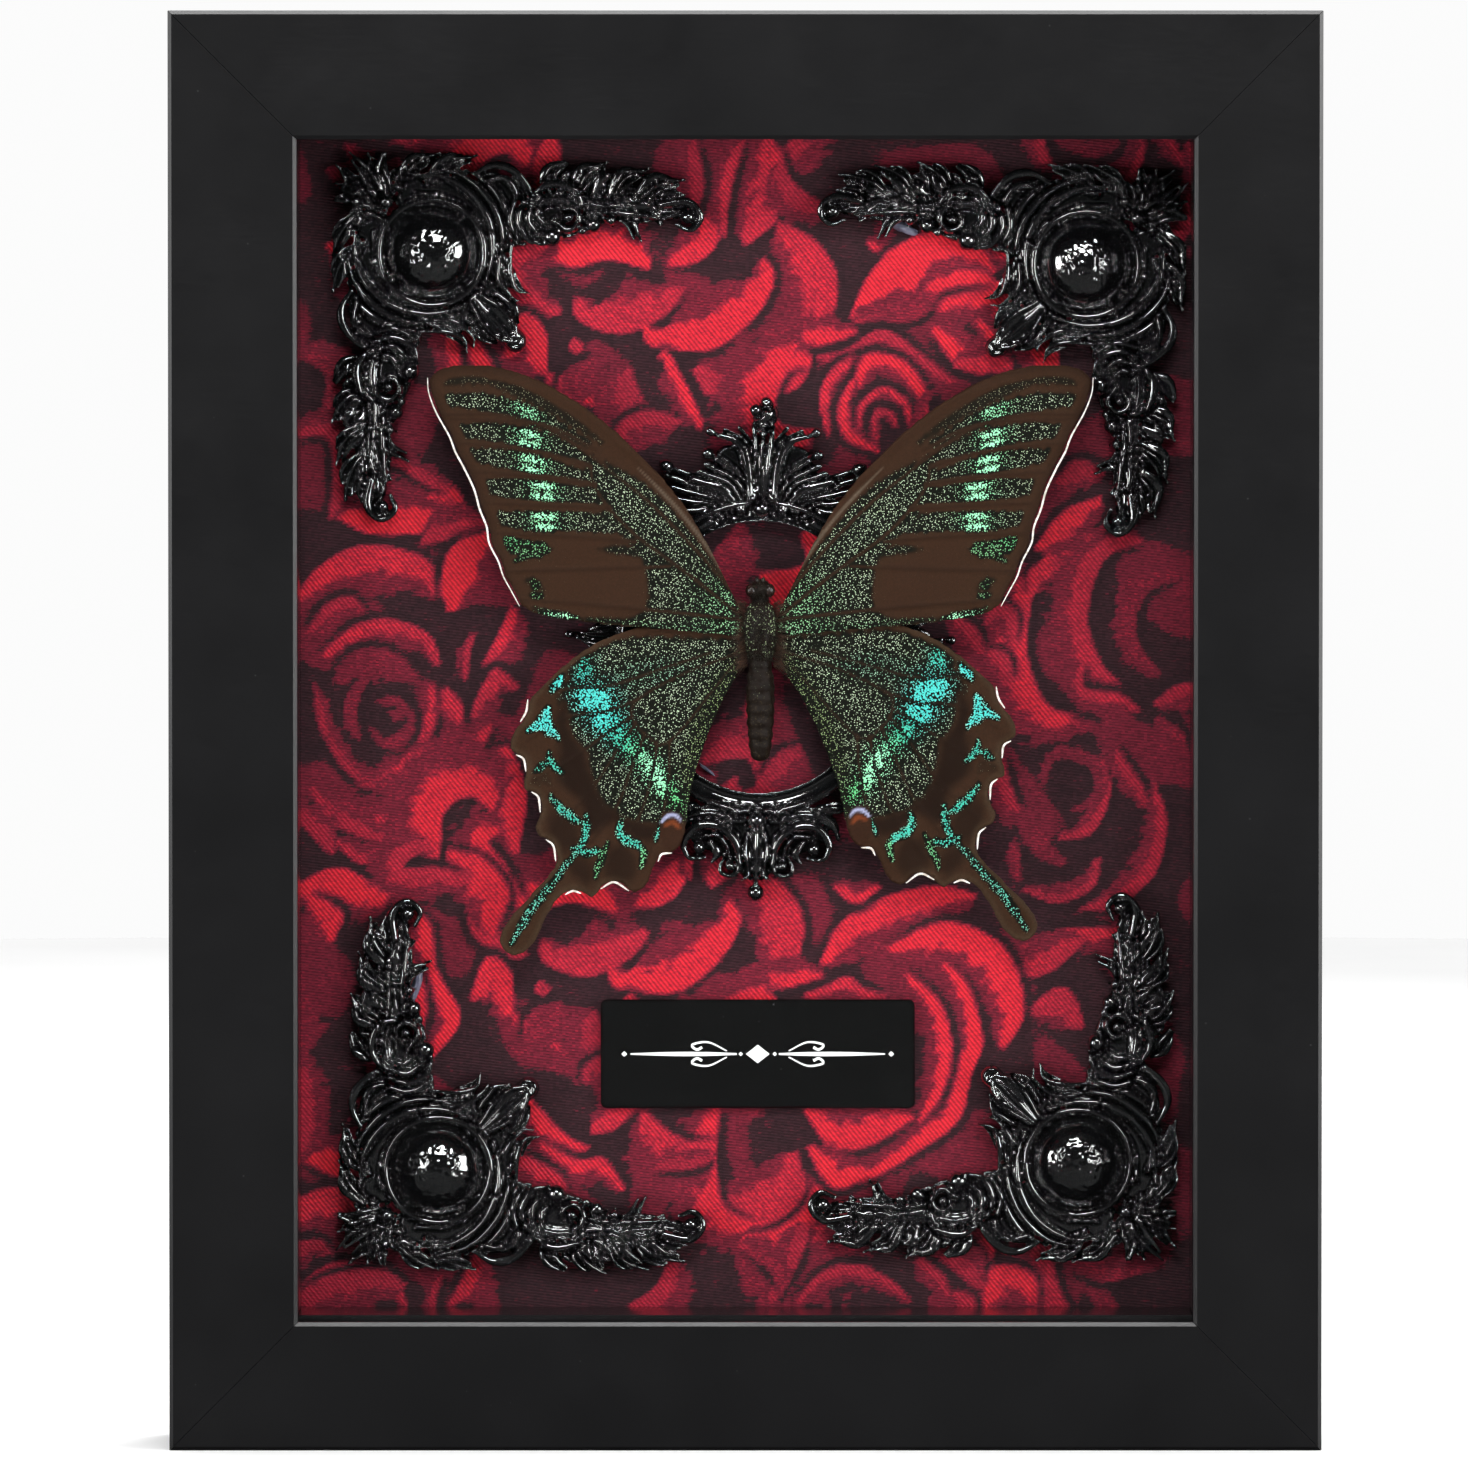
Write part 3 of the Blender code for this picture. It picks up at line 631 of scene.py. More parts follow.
# Petal rims. Each is the crisp edge of a petal, with the petal on its left, then the width of the lit band
# along that edge and its tone.
PETALS = [
    # Under the top edge, between the upper castings.
    ([(-27.5, 70), (-27, 66), (-20, 63.6), (-13, 66.5), (-9.5, 71)], 5.0, MID + 0.1),
    ([(-33, 78), (-28, 74.4), (-22, 75.5), (-15, 73.8)], 4.6, BRIGHT),
    ([(-30, 80), (-38, 77), (-38.5, 71), (-33, 66.5), (-29, 67)], 3.6, MID + 0.1),
    ([(-12.5, 74.6), (-8, 75), (-4.5, 78), (-3, 84)], 4.0, MID + 0.2),
    ([(0, 77.5), (5.5, 82.5), (6.8, 89), (4, 96)], 5.5, MID + 0.12),
    ([(-3, 79), (-2.2, 87), (0, 95)], 1.8, MID + 0.1),
    ([(-8, 82), (-6.6, 88), (-8, 95)], 2.2, MID),
    ([(14, 84), (9, 87), (5.4, 91.5)], 3.0, MID),
    ([(8, 62), (13.5, 65.5), (14.8, 73), (11, 79), (5, 82)], 6.2, MID + 0.14),
    ([(-16.8, 65.5), (-15.6, 62), (-10, 61), (-4, 61.8), (2.5, 67.5), (4.8, 73), (3, 76.4)],
     5.0, BRIGHT - 0.06),
    ([(3, 61.5), (9, 61.2), (18.5, 63.4)], 2.6, BRIGHT - 0.08),
    ([(2.5, 53.6), (7.5, 54.5), (10.4, 58), (9.6, 62.6)], 6.5, MID + 0.16),
    ([(-9, 58), (-5, 53), (3, 52.6)], 5.0, MID + 0.04),
    ([(40.5, 73.5), (36.5, 78.5), (30, 80.2), (24.5, 78), (19.5, 73), (16.4, 66)], 7.5, BRIGHT - 0.02),
    ([(27.5, 68.6), (33, 71.2), (40, 72.2)], 2.2, BRIGHT - 0.04),
    ([(17, 66.5), (21, 65.4), (28, 66.4), (31, 70)], 2.6, MAROON + 0.1),
    ([(29.5, 64.5), (33.5, 59), (38.5, 56.6)], 2.6, BRIGHT),
    ([(33, 58.4), (38, 57.4), (43, 58.6)], 2.6, MID + 0.14),
    # The tight spiral rose beside the crown.
    ([(34, 56), (28, 60.6), (22, 64.6), (16, 61.4), (11, 60.2)], 2.2, MID + 0.06),
    ([(22, 61.5), (15, 59), (11.8, 54), (13, 47)], 1.5, MID + 0.16),
    ([(29.8, 50), (28.6, 55.6), (24.5, 60), (19, 60), (16.4, 53)], 2.1, BRIGHT - 0.04),
    ([(17, 57), (14.8, 52), (16, 47), (21.5, 44.5)], 1.9, BRIGHT - 0.08),
    ([(27, 48.5), (26, 53), (22, 55.4), (18.2, 52.5), (18, 48)], 1.3, MID + 0.18),
    ([(24.6, 48.5), (23.6, 51.4), (20.8, 51.6), (20, 49), (21, 46.4)], 1.0, MID + 0.1),
    ([(30, 46), (29, 51), (30.5, 55)], 1.0, MAROON + 0.1),
    ([(11.5, 48.5), (5.8, 49.5), (5, 54), (7, 58), (11, 59)], 5.0, BRIGHT - 0.08),
    # Left of the crown.
    ([(-31.5, 57), (-32, 64.5), (-36, 67), (-39, 60)], 5.0, MID + 0.2),
    ([(-25.6, 62), (-27.5, 63.2), (-28.4, 61.4), (-26.8, 60.4), (-25.6, 61.8)], 1.4, MID + 0.1),
    ([(-24, 52), (-25, 55), (-29, 57), (-32, 58)], 2.6, MID + 0.18),
    ([(-7.2, 48), (-7, 50.5), (-12, 60.5), (-14.4, 60)], 2.0, BRIGHT - 0.06),
    ([(-11, 52), (-16, 53), (-18.5, 58.5)], 4.0, MID - 0.04),
    ([(-10, 50), (-16, 51.4), (-20.5, 49), (-20, 46.5)], 2.4, MID),
    ([(-24, 60), (-29, 58), (-30, 53)], 5.0, MAROON + 0.08),
    # Left, beside the forewing.
    ([(-48, 32), (-44.6, 35), (-47, 40), (-54, 44)], 6.0, BRIGHT - 0.02),
    ([(-66, 34.5), (-60, 31.6), (-52, 31.8), (-46, 33.4)], 4.6, BRIGHT),
    ([(-57.5, 43.6), (-51, 40), (-47, 38.6)], 1.4, MID),
    ([(-73, 47), (-67, 47), (-66, 40), (-67, 34)], 2.4, MID),
    ([(-72, 60), (-67.5, 57), (-68, 51)], 2.6, MAROON + 0.1),
    ([(-52, 30), (-46, 31), (-41, 33)], 3.0, MID + 0.08),
    # The large rose at the left.
    ([(-47.6, 21.5), (-50.5, 27), (-56, 29.6), (-63, 29.6), (-69, 26), (-72.5, 21)], 4.2, BRIGHT - 0.14),
    ([(-60.6, 19), (-63, 21.6), (-67, 20.6), (-70.4, 16)], 2.0, MID),
    ([(-48.6, 10.5), (-50.4, 15.4), (-56, 18), (-62.6, 17), (-68.4, 12)], 2.3, BRIGHT - 0.18),
    ([(-52, 9), (-57, 13), (-63, 12.6), (-66.5, 8)], 2.6, MAROON + 0.06),
    ([(-65, -2.2), (-66.4, 1.5), (-68.6, 6)], 1.3, BRIGHT - 0.2),
    ([(-61.5, -1.5), (-62, 4), (-60, 9)], 1.2, MAROON + 0.08),
    ([(-63, -9.2), (-57, -8.4), (-51.6, -3), (-49.4, 3), (-50, 8)], 2.1, BRIGHT - 0.14),
    ([(-45.6, 1), (-45.2, 4), (-47.8, 7.4)], 2.8, BRIGHT - 0.18),
    ([(-60.5, 1), (-58.6, -2.4), (-54.6, -2), (-53, 2), (-55.6, 5.8), (-59.6, 5)], 1.1, MAROON + 0.06),
    ([(-57.6, 3.4), (-56, 1.4), (-54.6, 3.2)], 0.9, MAROON + 0.02),
    ([(-69.5, 8), (-68, 0), (-64, -6.4), (-58, -10)], 1.4, MID - 0.06),
    ([(-66, -13), (-60, -15), (-53, -13), (-48.6, -6), (-46.6, -2)], 2.0, MID + 0.08),
    ([(-70, -9), (-66.4, -14.4), (-59, -17.8), (-56, -17)], 2.2, MID + 0.02),
    ([(-66.5, -17.4), (-61.4, -21.4), (-54.5, -20), (-50, -16.6)], 2.0, MID + 0.08),
    ([(-73, -13), (-68, -18.5), (-66, -20)], 2.6, MID),
    ([(-56, -26.5), (-61, -23.4), (-66, -21.6), (-73, -25)], 5.0, BRIGHT - 0.04),
    ([(-66, -34), (-64.6, -29), (-70, -26)], 4.0, BRIGHT - 0.06),
    # Between that rose and the hindwing.
    ([(-41, 32.4), (-46.8, 30), (-48.6, 25), (-48, 19)], 5.6, BRIGHT - 0.02),
    ([(-37.6, 20.4), (-39.6, 16), (-42.4, 10.6)], 2.4, BRIGHT - 0.16),
    ([(-44.4, 8), (-44, 12.5), (-43, 16)], 1.0, MID),
    ([(-36, 7.4), (-40, 10.2), (-43, 6), (-44, 2.2)], 2.4, BRIGHT - 0.2),
    ([(-44.6, -5), (-42.4, -3), (-40.4, 1)], 2.0, MID + 0.16),
    ([(-40.6, -10), (-40.4, -6), (-44, -4.4), (-47, -8), (-48, -13)], 2.6, BRIGHT - 0.16),
    ([(-36.4, -20), (-35, -10), (-37.6, -2.6), (-40, -3)], 4.2, BRIGHT - 0.1),
    ([(-49, -21), (-48, -12.6), (-44, -10.4), (-40.6, -13)], 5.4, BRIGHT - 0.08),
    ([(-35, -28), (-38, -22), (-41, -17.6), (-39, -16.4)], 4.2, BRIGHT - 0.06),
    ([(-40.4, -33), (-38, -26), (-42, -20.5), (-48, -18.6)], 5.6, BRIGHT - 0.1),
    ([(-44, -24), (-49, -21.6), (-54.6, -21.6), (-50, -18)], 3.0, MID + 0.06),
    ([(-50.4, -53), (-45.6, -46), (-49.4, -38), (-50.5, -31), (-54.5, -27.6)], 3.0, BRIGHT - 0.02),
    ([(-52, -50), (-51, -44), (-52.6, -38), (-54.6, -34.5)], 2.0, BRIGHT - 0.06),
    # Behind the body, in the oval.
    ([(8.6, 32), (9.2, 27), (2, 25.6)], 9.0, BRIGHT - 0.06),
    ([(-1, 34), (-5.5, 28), (-6, 22)], 4.0, MAROON + 0.1),
    ([(0.5, 7), (-0.6, 1), (-2.4, -3.6)], 3.2, MID + 0.16),
    ([(-7, -5.4), (0, -4.4), (1.5, -8.6), (-2, -9.4)], 3.6, MID + 0.04),
    ([(9, -2), (5, -3.6), (2.4, -8)], 3.4, MID - 0.06),
    # The two roses at the right.
    ([(54.6, 2.8), (48.6, 4.4), (45.4, 12), (45.8, 20), (48, 27)], 4.4, BRIGHT - 0.12),
    ([(60, 31.4), (52, 31.2), (46, 26), (45.6, 22)], 3.4, BRIGHT - 0.16),
    ([(61, 7), (56.6, 12), (55, 19), (57.6, 27.4), (64, 30.6)], 3.2, MID + 0.06),
    ([(63.6, 3.4), (60, 6.2), (54.6, 7), (54, 11)], 1.6, MID + 0.08),
    ([(67, 9), (63, 15), (64, 22), (70, 25)], 2.0, MAROON + 0.08),
    ([(73, 8), (69, 7.6), (65, 4.6)], 2.2, MID),
    ([(57, 38), (51, 35.4), (46, 29.4)], 3.2, BRIGHT - 0.1),
    ([(58, 42), (53, 43.6), (49.4, 40)], 3.0, MID),
    ([(42.6, 8), (42, 12), (39, 13.4)], 2.4, MID + 0.04),
    ([(43, 14), (43.2, 19), (40, 20.6), (38, 17)], 1.8, MID),
    ([(38.4, 12.6), (37, 16.6), (33, 19)], 2.0, MID),
    ([(56.6, 0.6), (55, 1.8), (52, 1.4)], 1.0, MAROON + 0.1),
    ([(50, -17.4), (55.6, -16.4), (58.6, -10), (57.6, -4)], 1.6, MID + 0.06),
    ([(44.4, -13), (42.6, -9), (41.4, -4)], 1.8, MID + 0.02),
    ([(65.4, -12.4), (63, -7.6), (59.4, -2.4)], 1.6, MID),
    ([(53, -29), (60, -27.8), (66, -22.4), (67.6, -14), (65.6, -8)], 2.1, MID + 0.06),
    ([(44, -25.4), (50, -27.6), (56, -25), (57, -20)], 1.5, MID),
    ([(44.4, -24), (44.4, -19), (47.6, -16.4)], 1.2, MAROON + 0.12),
    ([(48, -9), (50, -4.6), (55, -6), (55.4, -10), (52, -12.4)], 1.2, MAROON + 0.02),
    ([(43.5, -14), (46, -19.6), (51, -22)], 1.8, MAROON + 0.04),
    ([(71, -4), (70, 0), (66, 3)], 1.6, MAROON + 0.1),
    ([(60, -31.4), (51, -31.6), (44, -34.4)], 2.4, MID + 0.14),
    ([(43, -39.6), (49, -38.6), (54.6, -33.4)], 3.4, MID + 0.1),
    ([(54.6, -47.6), (53, -42.6), (50, -40.8), (45, -44.6)], 4.6, MID + 0.08),
    # The rose that the nameplate lies on.
    ([(37.4, -26), (31, -24.6), (22, -26.4), (15.4, -30.4), (11.6, -37.4)], 4.4, BRIGHT - 0.08),
    ([(13.5, -24.6), (17.6, -27.8), (22, -25)], 1.8, BRIGHT - 0.1),
    ([(41.4, -51.4), (44.6, -46), (44, -39.6), (40.4, -33.4), (32, -30.4), (22.4, -34.6)],
     5.0, BRIGHT - 0.04),
    ([(18.4, -73), (27, -67.8), (34.2, -62.4), (36.4, -55), (38.2, -49.4), (35.8, -41), (31.6, -36.4)],
     2.9, BRIGHT),
    ([(28, -63), (31.6, -58), (33.2, -50.6), (31.2, -43.4), (25.6, -38.2)], 2.3, BRIGHT - 0.04),
    ([(22.6, -42.4), (19, -41), (16.4, -39), (13, -40.6), (9, -42)], 1.8, BRIGHT - 0.16),
    ([(9, -60.5), (13.6, -66.8), (20, -66.4), (27.4, -62)], 4.4, BRIGHT - 0.06),
    ([(9.6, -66.5), (12, -71), (15, -73.4), (21, -71)], 3.4, BRIGHT),
    # Petals that the repeat doesn't bring, below the plate.
    ([(-6, -78.6), (3, -79), (9, -74.4), (8.6, -67)], 6.5, MID + 0.12),
    ([(1.4, -79), (-3.6, -76), (-4.4, -68), (-4, -60)], 4.4, BRIGHT - 0.08),
    ([(-4.4, -66), (-10, -65.4), (-16.5, -60.6)], 4.6, MID + 0.14),
    ([(-25, -64.6), (-21, -64), (-17.4, -60.4)], 3.2, MID + 0.16),
    ([(-24.8, -66.6), (-29, -64.4), (-35, -58)], 2.6, BRIGHT - 0.04),
    ([(-19, -73.6), (-22.6, -68.4), (-27, -68.6), (-33, -65.6)], 2.2, BRIGHT - 0.1),
    ([(-28.6, -73.4), (-30.4, -70.6), (-37, -67)], 2.6, MID + 0.14),
    ([(-15, -70.4), (-8, -70), (-4.6, -68)], 1.8, MID - 0.04),
    ([(-54, -88.6), (-60, -86.4), (-68, -88), (-73, -92)], 3.2, MID - 0.02),
    ([(27, -91.6), (23, -87.6), (17.4, -85.4), (12, -87), (7.6, -92)], 1.6, MID + 0.02),
    ([(47, -92), (46, -87), (40, -85.6), (38, -92)], 4.6, BRIGHT - 0.1),
    ([(4.4, -92), (8.6, -85), (10, -78.6)], 2.6, MID),
    ([(-1, -82), (4, -86.6), (6, -90)], 1.8, MAROON + 0.12),
    ([(-12, -84), (-14.6, -89), (-19, -92)], 3.0, MID + 0.04),
    ([(30, -84), (34, -87), (38, -89.6)], 2.6, MID - 0.04),
    ([(52, -86), (58, -88.4), (64, -87)], 2.2, MAROON + 0.1),
]


def paint_petal(grid, tone, rim, width, lit):
    """Paints one petal over what is there: a dark line outside its rim, a lit band inside, then shade."""
    line = curve(rim, 0.9)
    window = grid.window(line, width * 2.4 + 1)
    x, z = grid.x[window], grid.z[window]
    if not x.size:
        return
    gap, share, side = follow(x, z, line)
    inward = gap * side
    taper = np.sqrt(np.sin(np.pi * np.clip(share, 0.0, 1.0)).clip(0.0, 1.0))
    teeth = 0.2 * ripple(x, z, 2.6, 5) + 0.12 * ripple(x * 0.3, z, 1.3, 6)
    reach = width * taper * (1 + teeth) + 0.05
    band = 1 - smooth(inward / reach, 0.9, 1.12)
    shade = 1 - smooth(inward / reach, 1.8, 2.2)
    inside = smooth(inward, -0.25, 0.35) * smooth(taper, 0.05, 0.3)
    mask = inside * shade
    value = lit * band + (MAROON + 0.05) * (1 - band)
    painted = tone[window] * (1 - mask) + value * mask
    outline = np.exp(-(((inward + 0.75) / 0.6) ** 2)) * taper * (side < 0)
    tone[window] = painted * (1 - 0.9 * outline)


def rose_tone(grid):
    """The woven pattern's tone all over the cloth: a repeat above and below, then the pattern itself."""
    x, z = grid.x, grid.z
    tone = PLUM + 0.25 * smooth(ripple(x, z, 20, 11, 9), 0.08, 0.2) + 0.04 * ripple(x, z, 5, 12)
    for shift in (-1, 1, 0):
        for rim, width, lit in PETALS:
            if shift and max(point[1] for point in rim) < REPEATED_ABOVE:
                continue
            moved = [(px + shift * REPEAT[0], pz + shift * REPEAT[1]) for px, pz in rim]
            lowest = min(point[1] for point in moved)
            if shift == 1 and lowest > PLATE_ROSE[1] and moved[0][0] > PLATE_ROSE[0]:
                continue
            paint_petal(grid, tone, moved, width, lit)
    return tone


def make_cloth(material):
    """A sheet stretched over the mount board. Its lit satin stands a hair above the darker ground."""
    half_x, half_z = CLOTH_WIDTH / 2 / MM, CLOTH_HEIGHT / 2 / MM
    grid = Grid((-half_x, half_x), (-half_z, half_z), CLOTH_PITCH)
    grid.x *= half_x / grid.xs[-1]
    grid.z *= half_z / grid.zs[-1]
    tone = rose_tone(grid.shrunk(CLOTH_SHRINK, EYE_RISE))
    relief = 0.05 * smooth(tone, 0.2, 0.8) + 0.04 * ripple(grid.x, grid.z, 30, 21)
    number = np.arange(tone.size).reshape(tone.shape)
    corners = [number[:-1, :-1], number[1:, :-1], number[1:, 1:], number[:-1, 1:]]
    quads = np.stack(corners, -1).reshape(-1, 4)
    # The back is one plain face, joined to the front round the rim.
    rim = np.concatenate([number[:, 0], number[-1, 1:], number[-2::-1, -1], number[0, -2:0:-1]])
    back = tone.size + np.arange(len(rim))
    sides = np.stack([np.roll(rim, -1), rim, back, np.roll(back, -1)], -1)
    front = box_place(grid.x, grid.z, relief).reshape(-1, 3)
    behind = box_place(grid.x.ravel()[rim], grid.z.ravel()[rim], np.full(len(rim), -CLOTH_THICKNESS / MM))
    mesh = mesh_of("rose_cloth", np.vstack([front, behind]), [quads, sides, back[::-1][None, :]])
    shades = np.concatenate([tone.ravel(), tone.ravel()[rim]]).astype(np.float32)
    mesh.attributes.new("tone", "FLOAT", "POINT").data.foreach_set("value", shades)
    piece = new_piece("rose_cloth", mesh, material)
    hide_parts("rose_fabric")


# ---- cast relief ----

RIB_PITCH = 1.3
RIB_DEPTH = 0.5

# Where a stroke's sides start above the cloth, where its castings end, and how uneven their surface is.
STROKE_BASE = 1.4
CASTING_EDGE = 0.6
CASTING_BACK = 0.15
UNEVENNESS = 0.012


class Relief:
    """A carved casting: strokes, balls and rings raised out of a web, each with a groove around it."""

    def __init__(self, grid, seed):
        self.grid = grid
        self.seed = seed
        self.height = np.zeros(grid.x.shape)

    def raise_to(self, window, wanted, groove=None):
        """Brings a window of the relief up to the wanted height, once its groove is cut."""
        here = self.height[window]
        if groove is not None:
            here = here * (1 - groove)
        self.height[window] = np.maximum(here, wanted)

    def web(self, outline, height):
        """Fills an outline with a low plate that the ornament stands on."""
        ring = curve(outline, 0.8, closed=True)
        window = self.grid.window(ring, 0.5)
        depth = within(self.grid.x[window], self.grid.z[window], ring)
        self.raise_to(window, height * smooth(depth, -0.1, 0.9) ** 0.5)

    def stroke(self, points, width, height, start=0.35, end=0.15, ribs=0):
        """A moulded strip along a curve. start and end are its ends' shares of the full width."""
        line = curve(points, 0.35)
        window = self.grid.window(line, width + 0.8)
        x, z = self.grid.x[window], self.grid.z[window]
        gap, share, side = follow(x, z, line)
        swell = np.where(share < 0.45, start + (1 - start) * smooth(share, 0, 0.45), 0)
        swell = np.where(share >= 0.45, end + (1 - end) * (1 - smooth(share, 0.45, 1)), swell)
        half = width * swell / 2 + 0.05
        across = gap / half
        crest = np.minimum(half * (0.55 if ribs else 0.95), height - STROKE_BASE)
        rise = STROKE_BASE + (height - STROKE_BASE) * (0.7 + 0.3 * swell)
        rise = rise - crest * (1 - np.sqrt(np.clip(1 - across**2, 0, 1)))
        if ribs:
            wave = np.sin(side * across * np.pi * width / RIB_PITCH / 2) ** 2
            rise -= RIB_DEPTH * wave * (0.4 + 0.6 * swell)
        self.raise_to(window, np.where(across < 1, rise, 0), self.groove(gap, half))

    @staticmethod
    def groove(gap, half):
        """How much of what is there a groove takes away, just outside something that is half wide."""
        return 0.45 * np.exp(-(((gap - half - 0.12) / 0.22) ** 2)) * (gap > half)

    def leaf(self, root, tip, width, height, bend=0.0, ribs=3):
        """A leaf of round ribs side by side, from its root to its tip. bend bows it to the left."""
        root, tip = np.array(root, float), np.array(tip, float)
        along = tip - root
        across = np.array([-along[1], along[0]])
        middle = (root + tip) / 2 + bend * across
        across /= np.hypot(*along)
        for rib in np.linspace(-1, 1, ribs):
            spread = rib * width * 0.5 * (1 - 1 / ribs) * across
            points = [root + 0.3 * spread, middle + spread, tip + 0.35 * spread - 0.14 * abs(rib) * along]
            self.stroke(points, 1.12 * width / ribs, height - 0.3 * abs(rib), 0.5, 0.45)

    def ball(self, centre, radius, height):
        place = np.array([centre], float)
        window = self.grid.window(place, radius + 0.6)
        gap = np.hypot(self.grid.x[window] - centre[0], self.grid.z[window] - centre[1])
        crown = np.sqrt(np.clip(1 - (gap / radius) ** 2, 0, 1))
        base = max(height - radius * 1.1, 1.2)
        raised = np.where(gap < radius, base + (height - base) * crown, 0)
        self.raise_to(window, raised, self.groove(gap, radius))

    def arc(self, centre, radius, first, last, width, height, shrink=0.0, **ends):
        """A stroke round a centre, from one angle to another in degrees. shrink draws it inwards."""
        count = max(4, int(abs(last - first) / 14))
        points = []
        for step in range(count + 1):
            angle = math.radians(first + (last - first) * step / count)
            reach = radius * (1 - shrink * step / count)
            points.append((centre[0] + reach * math.cos(angle), centre[1] + reach * math.sin(angle)))
        self.stroke(points, width, height, **ends)

    def volute(self, centre, radius, first, turns, width, height):
        """A scroll's curled end, wound in to a ball at its centre."""
        self.arc(centre, radius, first, first + 360 * turns, width, height, shrink=0.78, start=1.0, end=0.6)
        self.ball(centre, radius * 0.36, height + 0.1)

    def roughen(self):
        """The unevenness of a hand-finished casting."""
        x, z = self.grid.x, self.grid.z
        lumps = 0.6 * ripple(x, z, 1.3, self.seed, 11) + 0.4 * ripple(x, z, 0.7, self.seed + 1, 11)
        self.height = np.where(self.height > 0.2, self.height + UNEVENNESS * lumps, self.height)


def swapped(points):
    """The same points mirrored across the casting's diagonal."""
    return [(-z, -x) for x, z in points]


CORNER_WEB = [
    (-11.0, 11.0), (-8.6, 13.0), (-4.0, 12.8), (2.0, 14.0), (9.0, 13.6), (14.0, 12.8), (17.0, 11.0),
    (22.0, 12.2), (28.0, 12.2), (35.0, 11.8), (39.8, 11.0), (41.8, 7.4), (38.5, 6.0), (32.0, 5.2),
    (27.0, 4.8), (20.6, 2.2), (15.4, 1.4), (12.6, 0.2), (13.6, -4.0), (12.0, -7.6), (13.2, -13.2),
]

# One arm of a corner casting, as seen at the top left: the leaves' (root, tip, width, height, bend, ribs).
ARM_LEAVES = [
    ((-6.4, 7.6), (-10.8, 16.0), 3.4, 4.0, 0.12, 3),
    ((-6.8, 8.4), (-8.0, 13.8), 2.2, 3.6, 0.1, 2),
    ((-7.4, 8.0), (-15.9, 13.8), 3.6, 3.8, 0.1, 3),
    ((-8.2, 7.0), (-17.0, 8.4), 2.8, 3.6, -0.1, 2),
    ((-6.6, 9.6), (-4.8, 14.4), 2.6, 3.8, 0.1, 2),
    ((-6.2, 11.4), (1.0, 16.1), 3.4, 4.1, 0.1, 3),
    ((-1.4, 11.6), (6.9, 15.9), 3.4, 4.1, 0.1, 3),
    ((17.4, 10.0), (21.9, 15.9), 3.2, 3.9, 0.14, 2),
    ((20.4, 10.4), (24.8, 13.8), 2.8, 3.6, 0.14, 2),
    ((22.6, 10.0), (27.9, 15.5), 3.8, 4.0, 0.14, 3),
    ((26.0, 10.0), (30.4, 13.0), 3.4, 3.7, 0.16, 2),
    ((28.4, 9.6), (34.8, 14.6), 3.4, 3.9, 0.16, 3),
    ((32.4, 9.4), (40.5, 12.9), 4.0, 4.0, 0.12, 3),
    ((35.6, 8.6), (42.0, 10.2), 2.4, 3.6, 0.1, 2),
    ((26.6, 8.0), (33.8, 2.7), 3.4, 3.9, 0.22, 3),
    ((24.0, 7.8), (30.0, 4.8), 2.6, 3.5, 0.2, 2),
    ((31.0, 8.2), (37.8, 5.4), 2.6, 3.6, 0.16, 2),
    ((10.4, -6.4), (14.6, -11.8), 2.6, 3.7, 0.1, 2),
]

